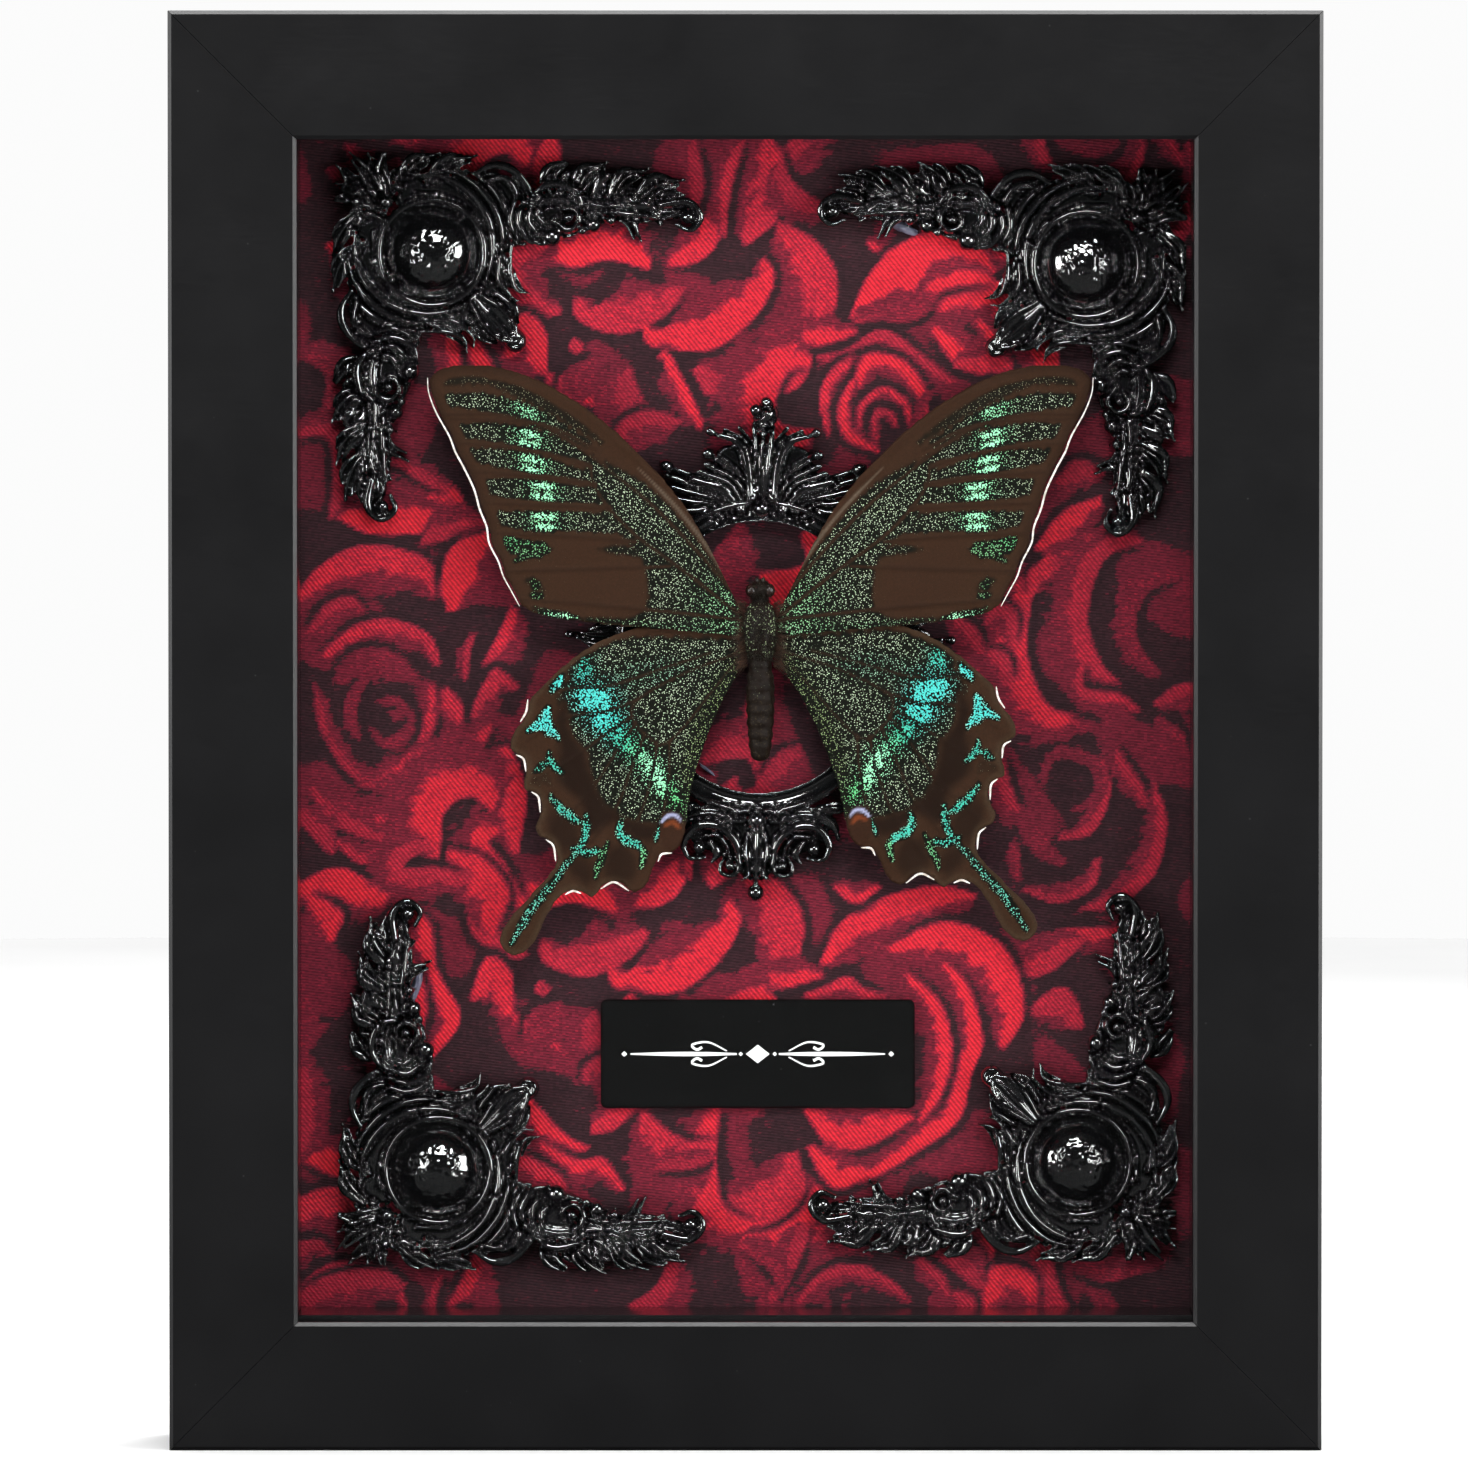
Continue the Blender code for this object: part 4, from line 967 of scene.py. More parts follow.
# The arm's scrolls and mouldings: (points, width, height, share of the width at the start and at the end).
ARM_SCROLLS = [
    ([(-3.0, 9.4), (1.8, 8.9), (5.6, 6.4), (7.9, 2.0), (7.8, -2.0)], 0.9, 3.9, 0.3, 0.4),
    ([(-3.4, 12.6), (1.8, 12.2), (6.6, 9.4), (9.2, 5.0), (9.8, 0.0), (8.6, -4.6)], 1.4, 4.3, 0.2, 0.4),
    ([(1.0, 13.6), (5.4, 12.2), (9.2, 8.6), (11.2, 4.0), (11.2, -0.6)], 1.3, 4.3, 0.2, 0.3),
    ([(5.0, 13.6), (9.0, 11.2), (11.6, 7.4), (12.6, 3.0), (12.4, 0.4)], 1.2, 4.1, 0.3, 0.3),
    ([(6.4, 12.8), (9.4, 14.4), (12.6, 13.8), (15.2, 11.2), (15.8, 8.6)], 1.6, 4.5, 0.5, 0.4),
    ([(8.6, 12.0), (11.4, 12.4), (13.2, 10.4), (13.4, 8.4)], 1.0, 4.1, 0.5, 0.4),
    ([(13.0, 8.4), (12.5, 5.4), (14.4, 2.4)], 1.0, 4.2, 0.8, 0.5),
    ([(14.5, 8.6), (13.9, 5.6), (15.4, 2.6), (18.0, 1.9)], 1.2, 4.4, 0.8, 0.7),
    ([(16.0, 8.4), (15.3, 5.8), (16.8, 3.8)], 1.1, 4.2, 0.8, 0.5),
    ([(17.3, 8.4), (16.9, 6.4), (18.0, 5.2)], 0.9, 3.9, 0.8, 0.5),
    ([(16.0, 9.2), (18.4, 11.6), (22.0, 11.2), (23.8, 8.6), (22.4, 6.6)], 1.5, 4.3, 0.7, 0.5),
    ([(15.0, 8.4), (20.0, 9.4), (26.0, 8.5), (32.6, 8.8), (38.2, 8.4)], 2.2, 3.1, 0.7, 0.7),
    ([(24.6, 6.6), (28.0, 7.2), (33.0, 7.0), (37.4, 6.4)], 1.0, 3.8, 0.4, 0.4),
    ([(37.0, 8.8), (41.0, 9.3), (43.1, 7.0), (41.6, 4.8), (39.3, 5.6)], 1.7, 4.2, 0.8, 0.5),
    ([(9.6, 2.4), (10.8, -1.6), (13.6, -4.8), (16.0, -6.2)], 4.0, 3.7, 0.5, 0.1),
    ([(12.8, 1.6), (12.7, -2.6), (13.8, -5.6), (16.3, -6.2)], 0.9, 4.4, 0.5, 0.4),
    ([(10.9, -0.4), (11.0, -4.0), (13.4, -7.0), (15.4, -7.2)], 0.9, 4.1, 0.5, 0.3),
    ([(7.6, -6.4), (11.2, -8.4), (13.4, -10.6), (14.1, -13.6)], 1.0, 4.2, 0.5, 0.6),
    ([(7.2, -7.2), (10.0, -9.8), (12.2, -12.6)], 0.9, 3.9, 0.5, 0.4),
]

# Its balls: (centre, radius, height).
ARM_BALLS = [
    ((19.3, 3.1), 1.7, 4.6),
    ((25.9, 5.2), 1.4, 4.0),
    ((24.2, 4.2), 0.8, 3.4),
    ((41.2, 6.9), 1.2, 4.4),
    ((-8.0, 7.8), 1.3, 4.5),
    ((-6.0, 10.4), 0.8, 4.0),
    ((28.8, 6.0), 0.8, 3.6),
    ((21.9, 6.3), 0.8, 4.3),
]


BOSS_RADIUS = 7.2
DISH_RADIUS = 8.0


def corner_relief(seed):
    """One arm's carving, then the same mirrored across the diagonal, round a hammered boss."""
    grid = Grid((-17.8, 44.2), (-44.2, 17.8), CORNER_PITCH)
    relief = Relief(grid, seed)
    relief.web(CORNER_WEB + swapped(CORNER_WEB[::-1]), 2.0)
    for turn, way in ((list, 1), (swapped, -1)):
        for root, tip, width, height, bend, ribs in ARM_LEAVES:
            relief.leaf(*turn([root, tip]), width, height, bend * way, ribs)
        for points, width, height, start, end in ARM_SCROLLS:
            relief.stroke(turn(points), width, height, start, end, ribs=2 if width > 2 else 0)
        relief.volute(turn([(21.9, 6.3)])[0], 2.3, 200, 1.2, 1.0, 4.1)
        for centre, radius, height in ARM_BALLS:
            relief.ball(turn([centre])[0], radius, height)

    # The shell leaf on the diagonal, then the boss in its dish.
    relief.stroke([(6.6, -6.6), (10.0, -10.0), (13.9, -13.9)], 4.2, 3.9, start=0.5, end=0.9, ribs=1)
    gap = np.hypot(grid.x, grid.z)
    dish = 2.2 + 0.9 * smooth(gap, 6.8, 8.4)
    dome = np.sqrt(np.clip(1 - (gap / BOSS_RADIUS) ** 2, 0, 1)) * 4.9 + 2.5
    pits = 0.1 * ripple(grid.x, grid.z, 1.2, seed + 4, 12) + 0.06 * ripple(grid.x, grid.z, 0.7, seed + 5, 12)
    hammered = pits * (0.25 + 0.75 * (1 - smooth(gap, 3.4, 5.2)))
    relief.height = np.where(gap < DISH_RADIUS, dish, relief.height)
    relief.height = np.where(gap < BOSS_RADIUS, dome + hammered, relief.height)
    relief.arc((0, 0), 8.5, 0, 360, 1.0, 4.0, start=1.0, end=1.0)
    relief.roughen()
    return relief


def make_casting(name, stands_for, relief, centre, turn, material):
    """Makes a relief a piece of its own, turned clockwise and brought to its place."""
    mesh, _ = grid_solid(
        name,
        relief.grid,
        relief.height > CASTING_EDGE,
        relief.height,
        np.full(relief.height.shape, CASTING_BACK),
        lambda x, z: turned(x, z, centre, turn),
    )
    piece = new_piece(name, mesh, material)
    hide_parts(stands_for)


def make_corner_ornaments(material):
    for index, (corner, (x, z, turn)) in enumerate(CORNERS.items()):
        relief = corner_relief(30 + 7 * index)
        make_casting(f"ornament_{corner}", f"corner_ornament_{corner}", relief, (x, z), turn, material)


def oval_points(half_width, half_height, count=72):
    angles = np.linspace(0, 2 * math.pi, count + 1)
    return np.stack([half_width * np.sin(angles), half_height * np.cos(angles)], -1)


# Groups of ribs in the crown, a palmette and two leaves that curl away from it down to the wings: how many,
# the first rib's points, the step from each rib's points to the next one's, width, height, how much lower
# each next rib is, and the shares of the width at the start and at the end.
CROWN_RIBS = [
    (5, [(3.6, 24.4), (6.4, 27.0), (16.4, 31.0)], [(0.75, -0.45), (0.75, -0.9), (-0.9, -1.9)],
     1.35, 4.4, 0.1, 0.6, 0.8),
    (4, [(1.6, 24.9), (3.4, 28.6), (8.2, 32.4)], [(0.9, 0.0), (1.1, -0.5), (1.0, -1.3)],
     1.4, 5.0, 0.12, 0.6, 0.8),
    (4, [(0.5, 25.4), (0.7, 31.0), (1.2, 34.6), (1.6, 37.6)],
     [(0.5, 0.0), (0.62, 0.0), (1.0, 0.0), (2.3, -0.5)], 1.25, 5.6, 0.1, 0.7, 0.75),
]
OVAL_WEBS = [
    [(0, 24), (0, 37), (3.4, 35), (7, 34), (10, 30.6), (13.6, 29), (12, 25.6), (16, 21), (10, 22.6)],
    [(0, -24), (0, -36), (3.6, -35), (7, -32.4), (11, -30), (12.4, -25.6), (8, -24)],
    [(21.6, -2), (22, 8), (26, 5.6), (29, 3.2), (27, 0)],
]


def oval_relief():
    """The oval frame: a hollow band between beads, a crown, scrolls below, and a leaf at each side."""
    grid = Grid((-33.0, 33.0), (-41.0, 42.4), OVAL_PITCH)
    relief = Relief(grid, 71)
    gap, _, _ = follow(grid.x, grid.z, oval_points(20.6, 23.2))
    distance = within(grid.x, grid.z, oval_points(20.6, 23.2)[:-1])
    band = 2.7 + 1.1 * (distance / 1.5) ** 2
    relief.height = np.where(gap < 1.5, band, 0)

    for side in (1, -1):
        def flip(points):
            return [(side * u, v) for u, v in points]

        def stroke(points, *sizes, **ends):
            relief.stroke(flip(points), *sizes, **ends)

        def leaf(root, tip, width, height, bend):
            relief.leaf(*flip([root, tip]), width, height, bend * side, ribs=2)

        def ball(centre, *sizes):
            relief.ball(flip([centre])[0], *sizes)

        for outline in OVAL_WEBS:
            relief.web(flip(outline), 1.8)
        # The crown.
        for count, roots, steps, width, height, lower, start, end in CROWN_RIBS:
            for rib in range(count):
                line = [(u + rib * du, v + rib * dv) for (u, v), (du, dv) in zip(roots, steps)]
                stroke(line, width, height - lower * rib, start=start, end=end)
        ball((15.6, 30.6), 1.3, 4.8)
        ball((9.0, 32.8), 1.0, 5.0)
        ball((8.6, 36.4), 0.9, 5.2)
        ball((3.4, 23.8), 0.9, 4.6)
        # Below: an S-scroll on each side with a curl at both ends, leaves behind it, and the pendant.
        stroke([(2.4, -26.0), (8.0, -25.4), (12.0, -26.4), (13.2, -29.2)], 2.6, 4.2, 0.5, 0.4, ribs=2)
        stroke([(10.0, -24.2), (13.4, -24.2), (15.6, -23.4)], 2.2, 3.9, start=0.5, end=0.4, ribs=2)
        stroke([(7.6, -29.6), (6.4, -31.8), (7.2, -33.4)], 1.8, 3.4, start=0.6, end=0.4)
        scroll = [(8.4, -32.4), (10.8, -32.6), (11.8, -30.2), (9.9, -27.6), (6.6, -27.4), (3.7, -29.5)]
        scroll += [(2.7, -32.6), (3.7, -35.3), (5.8, -34.8), (5.6, -33.2)]
        stroke(scroll, 1.6, 5.4, start=0.6, end=0.5)
        stroke([(8.6, -29.0), (6.4, -28.9), (4.8, -30.6), (4.4, -32.0)], 0.8, 4.6, start=0.5, end=0.5)
        ball((9.3, -30.9), 1.1, 5.0)
        ball((4.3, -33.8), 0.8, 4.9)
        stroke([(1.0, -28.4), (1.6, -31.4), (1.0, -35.0), (3.4, -36.6)], 1.1, 4.8, start=0.5, end=0.3)
        ball((3.2, -25.0), 0.9, 4.8)
        ball((5.2, -24.5), 0.7, 4.4)
        # The leaf at the side.
        leaf((21.4, 2.4), (31.2, 3.2), 3.0, 4.2, bend=-0.06)
        leaf((21.4, 4.6), (28.6, 6.8), 2.8, 4.0, bend=0.1)
        leaf((21.4, 1.0), (29.0, 0.2), 2.6, 3.9, bend=-0.1)
        leaf((21.2, 6.6), (24.4, 10.0), 2.4, 3.7, bend=0.1)
        leaf((21.0, -0.8), (25.0, -2.8), 2.2, 3.6, bend=-0.1)
        ball((31.0, 3.2), 0.9, 3.9)

    for size, width, height in (((22.4, 25.0), 0.8, 4.4), ((19.4, 22.0), 0.7, 3.9)):
        gap, _, _ = follow(grid.x, grid.z, oval_points(*size))
        bead = height * np.sqrt(np.clip(1 - (gap / width) ** 2, 0, 1)) ** 0.5
        relief.height = np.maximum(relief.height, np.where(gap < width, bead, 0))
    for rib in (-1, 0, 1):
        middle_rib = [(rib * 0.35, 25.2), (rib * 0.8, 31), (rib * 1.5, 37.2)]
        relief.stroke(middle_rib, 1.2, 5.6, start=0.5, end=0.7, ribs=1)
    relief.stroke([(0, 36.4), (0, 38.4)], 1.6, 4.8, start=1.0, end=0.9)
    relief.ball((0.3, 39.3), 2.3, 5.3)
    relief.ball((0.4, 41.2), 1.0, 4.6)
    relief.ball((-1.3, 39.9), 1.1, 5.6)
    relief.ball((0, 24.0), 1.5, 5.3)
    relief.stroke([(0, -25.0), (0, -31), (0, -36.6)], 1.9, 5.2, start=0.8, end=0.5, ribs=1)
    relief.ball((0, -26.4), 1.4, 5.4)
    relief.ball((0, -38.1), 1.5, 4.8)
    relief.roughen()
    opening = within(grid.x, grid.z, oval_points(19.2, 21.8)[:-1])
    relief.height = np.where(opening > -0.1, 0, relief.height)
    return relief


def make_cartouche(material):
    make_casting("oval_frame", "oval_cartouche", oval_relief(), CARTOUCHE_PLACE, CARTOUCHE_LEAN, material)


# ---- the nameplate's mark ----


def ribbon(line, widths, height, thickness=0.06):
    """A thin flat strip along a line, as points and faces. widths gives its full width at each point."""
    along = np.gradient(line, axis=0)
    along /= np.maximum(np.hypot(along[:, 0], along[:, 1]), 1e-9)[:, None]
    across = np.stack([-along[:, 1], along[:, 0]], -1) * np.asarray(widths)[:, None] / 2
    height = np.broadcast_to(height, len(line))
    left, right = line + across, line - across
    rows = [
        box_place(left[:, 0], left[:, 1], height),
        box_place(right[:, 0], right[:, 1], height),
        box_place(right[:, 0], right[:, 1], height - thickness),
        box_place(left[:, 0], left[:, 1], height - thickness),
    ]
    count = len(line)
    points = np.vstack(rows)
    index = np.arange(count - 1)
    faces = []
    for k in range(4):
        first, second = k * count, (k + 1) % 4 * count
        faces.append(np.stack([first + index, second + index, second + index + 1, first + index + 1], -1))
    caps = np.array([[3, 2, 1, 0], [0, 1, 2, 3]]) * count + np.array([[0], [count - 1]])
    return points, faces + [caps]


def joined(name, parts):
    """One mesh out of several lots of points and faces, with their faces turned outwards."""
    points, faces, start = [], [], 0
    for some_points, some_faces in parts:
        points.append(some_points)
        faces += [part + start for part in some_faces]
        start += len(some_points)
    mesh = mesh_of(name, np.vstack(points), faces, smooth_faces=False)
    turn_outwards(mesh)
    return mesh


def make_plate_mark(ink):
    """A plain printed flourish: a lozenge between two dots, tapered lines and small curls."""
    cx, cz = PLATE_PLACE
    height = PLATE_HEIGHT + 0.05
    parts = []
    lozenge = np.array([(-1.9, 0), (0, 0), (1.9, 0)])
    parts.append(ribbon(lozenge + (cx, cz), [0.05, 3.0, 0.05], height))
    for side in (-1, 1):
        line = curve([(3.4, 0), (11, 0), (20.6, 0)], 1.0) * (side, 1)
        share = np.linspace(0, 1, len(line))
        parts.append(ribbon(line + (cx, cz), 0.65 * np.sin(np.pi * (0.12 + 0.8 * share)) + 0.05, height))
        for way in (-1, 1):
            curl = curve([(5.0, 0.5), (8.0, 1.9), (10.6, 1.5), (9.9, 0.7), (9.0, 1.1)], 0.4) * (side, way)
            taper = np.linspace(0.2, 0.45, len(curl))
            parts.append(ribbon(curl + (cx, cz), taper, height))
        for place, size in ((2.75, 0.7), (21.6, 0.9)):
            dot = np.array([(place * side - size / 2, 0), (place * side, 0), (place * side + size / 2, 0)])
            parts.append(ribbon(dot + (cx, cz), [0.05, size, 0.05], height))
    new_piece("nameplate_mark", joined("nameplate_mark", parts), ink)


# ---- the wings ----

FOREWING = [
    (3.2, 4.2), (5.4, 8.6), (8.6, 14.8), (13.1, 21.9), (20.0, 29.6), (28.4, 36.6), (36.6, 41.2),
    (42.5, 42.9), (47.6, 43.3), (51.6, 42.6), (53.4, 41.0), (53.2, 38.6), (52.0, 35.4),
    (49.9, 31.6), (48.9, 29.0),
    (47.6, 26.6), (45.9, 23.0), (45.0, 19.8), (43.9, 17.0), (43.5, 14.4), (42.0, 11.4), (41.2, 9.0),
    (39.9, 6.6), (38.7, 4.4), (36.6, 3.0), (33.4, 2.2), (23.0, 0.9), (14.2, 0.2), (3.4, -0.6), (2.6, 1.8),
]
HINDWING = [
    (2.8, -0.8), (10.0, 1.0), (17.7, 1.2), (24.4, -0.6), (29.6, -3.5), (34.0, -7.3), (36.8, -10.0),
    (37.5, -11.3), (37.7, -12.9), (38.6, -14.4), (39.8, -15.8), (40.5, -17.8), (40.3, -19.4), (39.3, -19.9),
    (38.1, -20.6), (37.8, -22.4), (38.4, -24.2), (38.2, -25.7), (36.8, -25.9), (35.8, -26.8), (35.5, -28.8),
    (36.3, -31.0), (36.0, -33.0), (34.5, -33.6), (33.4, -34.6), (33.0, -36.8), (33.9, -38.6), (37.6, -42.8),
    (41.2, -47.0), (42.2, -50.0), (41.0, -52.0), (38.4, -52.1), (36.2, -50.0), (34.2, -45.8), (32.4, -43.0),
    (31.3, -42.2), (30.2, -41.8), (29.0, -42.1), (27.4, -43.0), (26.1, -42.3), (25.2, -41.0), (23.6, -40.4),
    (22.0, -41.0), (21.0, -42.0), (19.6, -42.1), (18.1, -40.8), (17.2, -38.4), (16.4, -36.9), (15.8, -35.9),
    (14.4, -35.7), (13.0, -35.1), (12.0, -32.4), (11.6, -29.4), (10.9, -25.4), (9.6, -20.6), (7.8, -15.4),
    (5.4, -10.2), (3.4, -6.4),
]

BROWN = (0.034, 0.0138, 0.0063)
DARK_BROWN = (0.017, 0.0066, 0.003)
VELVET = (0.012, 0.0045, 0.002)
PALE_DUST = (0.62, 0.74, 0.52)
GREY_DUST = (0.3, 0.27, 0.17)
OLIVE_DUST = (0.24, 0.33, 0.1)
GREEN_DUST = (0.17, 0.55, 0.25)
MINT = (0.4, 0.95, 0.58)
TEAL = (0.06, 0.5, 0.38)
CYAN = (0.08, 0.62, 0.56)


class WingPaint:
    """The drawing on one wing: the ground's colour, and the scales dusted on it."""

    def __init__(self, outline, seed):
        ring = curve(outline, 0.6, closed=True)
        low, high = ring.min(0) - 1, ring.max(0) + 1
        self.grid = Grid((low[0], high[0]), (low[1], high[1]), WING_PITCH)
        self.x, self.z = self.grid.x, self.grid.z
        self.depth = within(self.x, self.z, ring)
        self.rough = ripple(self.x, self.z, 1.6, seed, 9)
        self.ground = np.empty((*self.x.shape, 3))
        self.ground[:] = BROWN
        self.dust = np.empty_like(self.ground)
        self.dust[:] = PALE_DUST
        self.density = np.zeros(self.x.shape)
        self.relief = np.zeros(self.x.shape)

    def region(self, outline, soft=0.6, ragged=0.3):
        ring = curve(outline, 0.8, closed=True)
        return smooth(within(self.x, self.z, ring) + ragged * self.rough, -soft, soft)

    def band(self, points, width, start=0.3, end=0.3, soft=0.35, ragged=0.15):
        line = curve(points, 0.6)
        gap, share, _ = follow(self.x, self.z, line)
        swell = start + (1 - start) * smooth(share, 0, 0.3)
        swell *= end + (1 - end) * (1 - smooth(share, 0.7, 1))
        return 1 - smooth(gap - width * swell / 2 + ragged * self.rough, -soft, soft)

    def spot(self, centre, half_length, half_width, degrees, soft=0.35, ragged=0.25):
        c, s = math.cos(math.radians(degrees)), math.sin(math.radians(degrees))
        dx, dz = self.x - centre[0], self.z - centre[1]
        along, across = (dx * c + dz * s) / half_length, (dz * c - dx * s) / half_width
        reach = (np.hypot(along, across) - 1) * min(half_length, half_width) + ragged * self.rough
        return 1 - smooth(reach, -soft, soft)

    def scatter(self, mask, density, colour=None, tint=1.0):
        """Dusts scales over a mask, no thinner than they already are."""
        self.density = np.maximum(self.density, mask * density)
        if colour is not None:
            share = (mask * tint)[..., None]
            self.dust = self.dust * (1 - share) + np.array(colour) * share

    def clear(self, mask, amount=1.0):
        self.density = self.density * (1 - mask * amount)

    def shade(self, mask, colour):
        self.ground = self.ground * (1 - mask[..., None]) + np.array(colour) * mask[..., None]

    def vein(self, points, width=0.5, dark=0.85):
        """A raised dark line with few scales on it."""
        mask = self.band(points, width, 1.0, 0.7, 0.28, 0.05)
        self.clear(mask, dark)
        self.shade(mask * 0.6, DARK_BROWN)
        self.relief += 0.12 * mask

    def fold(self, points, depth=0.1, width=1.6):
        self.relief -= depth * self.band(points, width, 0.4, 0.4, 0.8, 0.0)


def paint_forewing():
    wing = WingPaint(FOREWING, 3)
    base = [(2.4, 5.4), (7.2, 12.0), (11.6, 17.4), (17.0, 22.6), (21.6, 25.8), (27.0, 28.0), (28.6, 25.6),
            (28.0, 21.4), (25.6, 18.8), (22.4, 15.6), (19.4, 12.2), (18.2, 8.0), (18.6, 3.6), (22.0, 1.6),
            (14.0, -0.6), (3.0, -1.4)]
    wing.scatter(wing.region(base, 0.9), 0.5)
    near_body = 1 - smooth(np.hypot(wing.x - 3, wing.z - 3), 4, 13)
    wing.scatter(near_body * wing.region(base), 0.62, GREEN_DUST, 0.65)
    # Rows of scales between the veins, from the tip down: line, width, the x at which it crosses the mint
    # band and is brightest, and how bright it is there.
    rows = [
        ([(51.2, 37.4), (45.5, 37.2), (40.0, 36.0), (35.0, 34.0), (28.0, 30.4)], 3.0, 37.6, 0.8),
        ([(48.6, 32.5), (43.0, 32.3), (37.4, 31.2), (32.0, 29.6), (27.6, 28.2)], 3.3, 37.3, 1.0),
        ([(46.6, 28.6), (41.0, 28.0), (36.6, 27.0), (31.0, 25.6), (27.6, 25.0)], 3.3, 36.6, 1.0),
        ([(44.4, 23.4), (39.0, 23.2), (34.8, 22.7), (30.0, 22.0), (25.6, 21.6)], 3.7, 35.0, 1.0),
        ([(42.4, 18.4), (38.0, 18.0), (34.6, 17.8), (29.0, 17.9), (22.6, 16.6)], 3.4, 34.8, 1.0),
    ]
    for line, width, across, bright in rows:
        mask = wing.band(line, width, 0.7, 0.5, 0.45, 0.35)
        wing.scatter(mask, 0.48)
        glow = np.exp(-(((wing.x - across) / 3.4) ** 2)) * mask
        wing.scatter(np.clip(glow * 1.3, 0, 1), 0.62, GREEN_DUST, 0.85)
        lit = np.exp(-(((wing.x - across) / 2.5) ** 2))
        for offset in (-0.84, 0.84):
            half = wing.band([(u, v + offset) for u, v in line], 1.05, 0.8, 0.6, 0.3, 0.25)
            wing.scatter(np.clip(half * lit * 1.25, 0, 1) * bright, 1.0, MINT, 1.0)
        wing.fold(line)
    upper = [(50.0, 40.6), (44.0, 41.0), (38.6, 38.8), (32.0, 35.4), (25.6, 30.6)]
    wing.scatter(wing.band(upper, 2.6, 0.8, 0.4, 0.7, 0.5), 0.36, GREY_DUST, 0.8)
    low_row = wing.band([(40.4, 14.2), (37.6, 13.4), (33.4, 13.4)], 2.8, 1.0, 0.1, 0.4, 0.3)
    wing.scatter(low_row, 0.62, GREEN_DUST, 1.0)
    wing.scatter(wing.band([(40.0, 11.4), (37.4, 12.2)], 1.0, 0.8, 0.5), 0.5, GREEN_DUST, 1.0)
    wing.scatter(wing.band([(26.0, 13.4), (22.0, 13.2), (18.0, 12.4)], 1.6, 0.3, 1.0, 0.6), 0.4)
    wing.scatter(wing.spot((36.3, 7.7), 1.5, 0.9, 40, 0.5, 0.4), 0.5, GREEN_DUST, 1.0)
    wing.scatter(wing.spot((36.2, 5.8), 1.3, 0.7, 10, 0.4, 0.3), 0.62, GREEN_DUST, 1.0)
    wing.scatter(wing.band([(36.6, 3.9), (34.0, 3.0), (29.4, 2.3)], 1.3, 0.8, 0.3, 0.35), 0.85, MINT, 0.9)
    rear_edge = wing.band([(30.0, 2.2), (22.0, 1.6), (10.0, 0.6)], 1.2, 0.5, 1.0, 0.5)
    wing.scatter(rear_edge, 0.42, GREEN_DUST, 0.5)
    wing.scatter(wing.region([(39, 14), (20, 12), (20, 3), (38, 5)], 1.0, 0.5), 0.07, GREY_DUST, 0.3)
    # Veins: the cell, then one to the margin below each row.
    veins = [
        [(3.0, 4.4), (9.6, 12.4), (17.6, 20.6), (25.0, 26.6)],
        [(25.0, 26.8), (34.0, 32.8), (42.0, 35.0), (51.8, 35.0)],
        [(26.4, 29.4), (35.0, 33.4), (49.8, 34.4)],
        [(27.2, 26.6), (36.0, 29.2), (48.2, 30.5)],
        [(26.8, 23.8), (35.0, 25.0), (46.0, 25.8)],
        [(24.4, 20.0), (34.0, 20.4), (43.8, 20.8)],
        [(3.4, 2.8), (12.0, 9.6), (19.6, 15.2), (24.4, 20.0), (26.8, 23.8), (27.4, 27.0)],
        [(20.0, 14.6), (30.0, 15.4), (42.4, 15.9)],
        [(14.6, 10.6), (26.0, 10.2), (41.2, 9.8)],
        [(3.4, 2.0), (18.0, 3.6), (30.0, 4.6), (38.6, 5.2)],
    ]
    for line in veins:
        wing.vein(line, 0.55)
    wing.clear(wing.band(veins[4], 1.0, 0.8, 1.0, 0.3), 0.85)
    wing.clear(wing.band(veins[5], 1.3, 0.8, 1.0, 0.3), 0.9)
    wing.clear(smooth(2.0 - wing.depth, -0.5, 0.5) * smooth(wing.x, 30, 40), 0.95)
    costa = [(3.6, 6.2), (8.6, 15.0), (13.6, 22.2), (20.4, 29.4), (28.6, 36.0), (37.0, 40.4), (44.0, 42.0)]
    wing.clear(wing.band(costa, 3.6, 0.35, 0.5, 0.5), 0.93)
    line = wing.band([(6.2, 10.0), (9.6, 15.2), (13.8, 20.4), (19.6, 26.4)], 0.45, 0.8, 0.2, 0.2, 0.0)
    wing.shade(line * 0.55, (0.16, 0.125, 0.09))
    wing.relief += 0.18 * wing.band([(4.0, 6.0), (13.4, 21.4), (28.4, 35.6), (44.0, 42.0)], 1.6, 0.8, 0.3)
    wing.shade(smooth(1.8 - wing.depth, 0, 1.2) * smooth(wing.x, 34, 44) * 0.5, DARK_BROWN)
    return wing


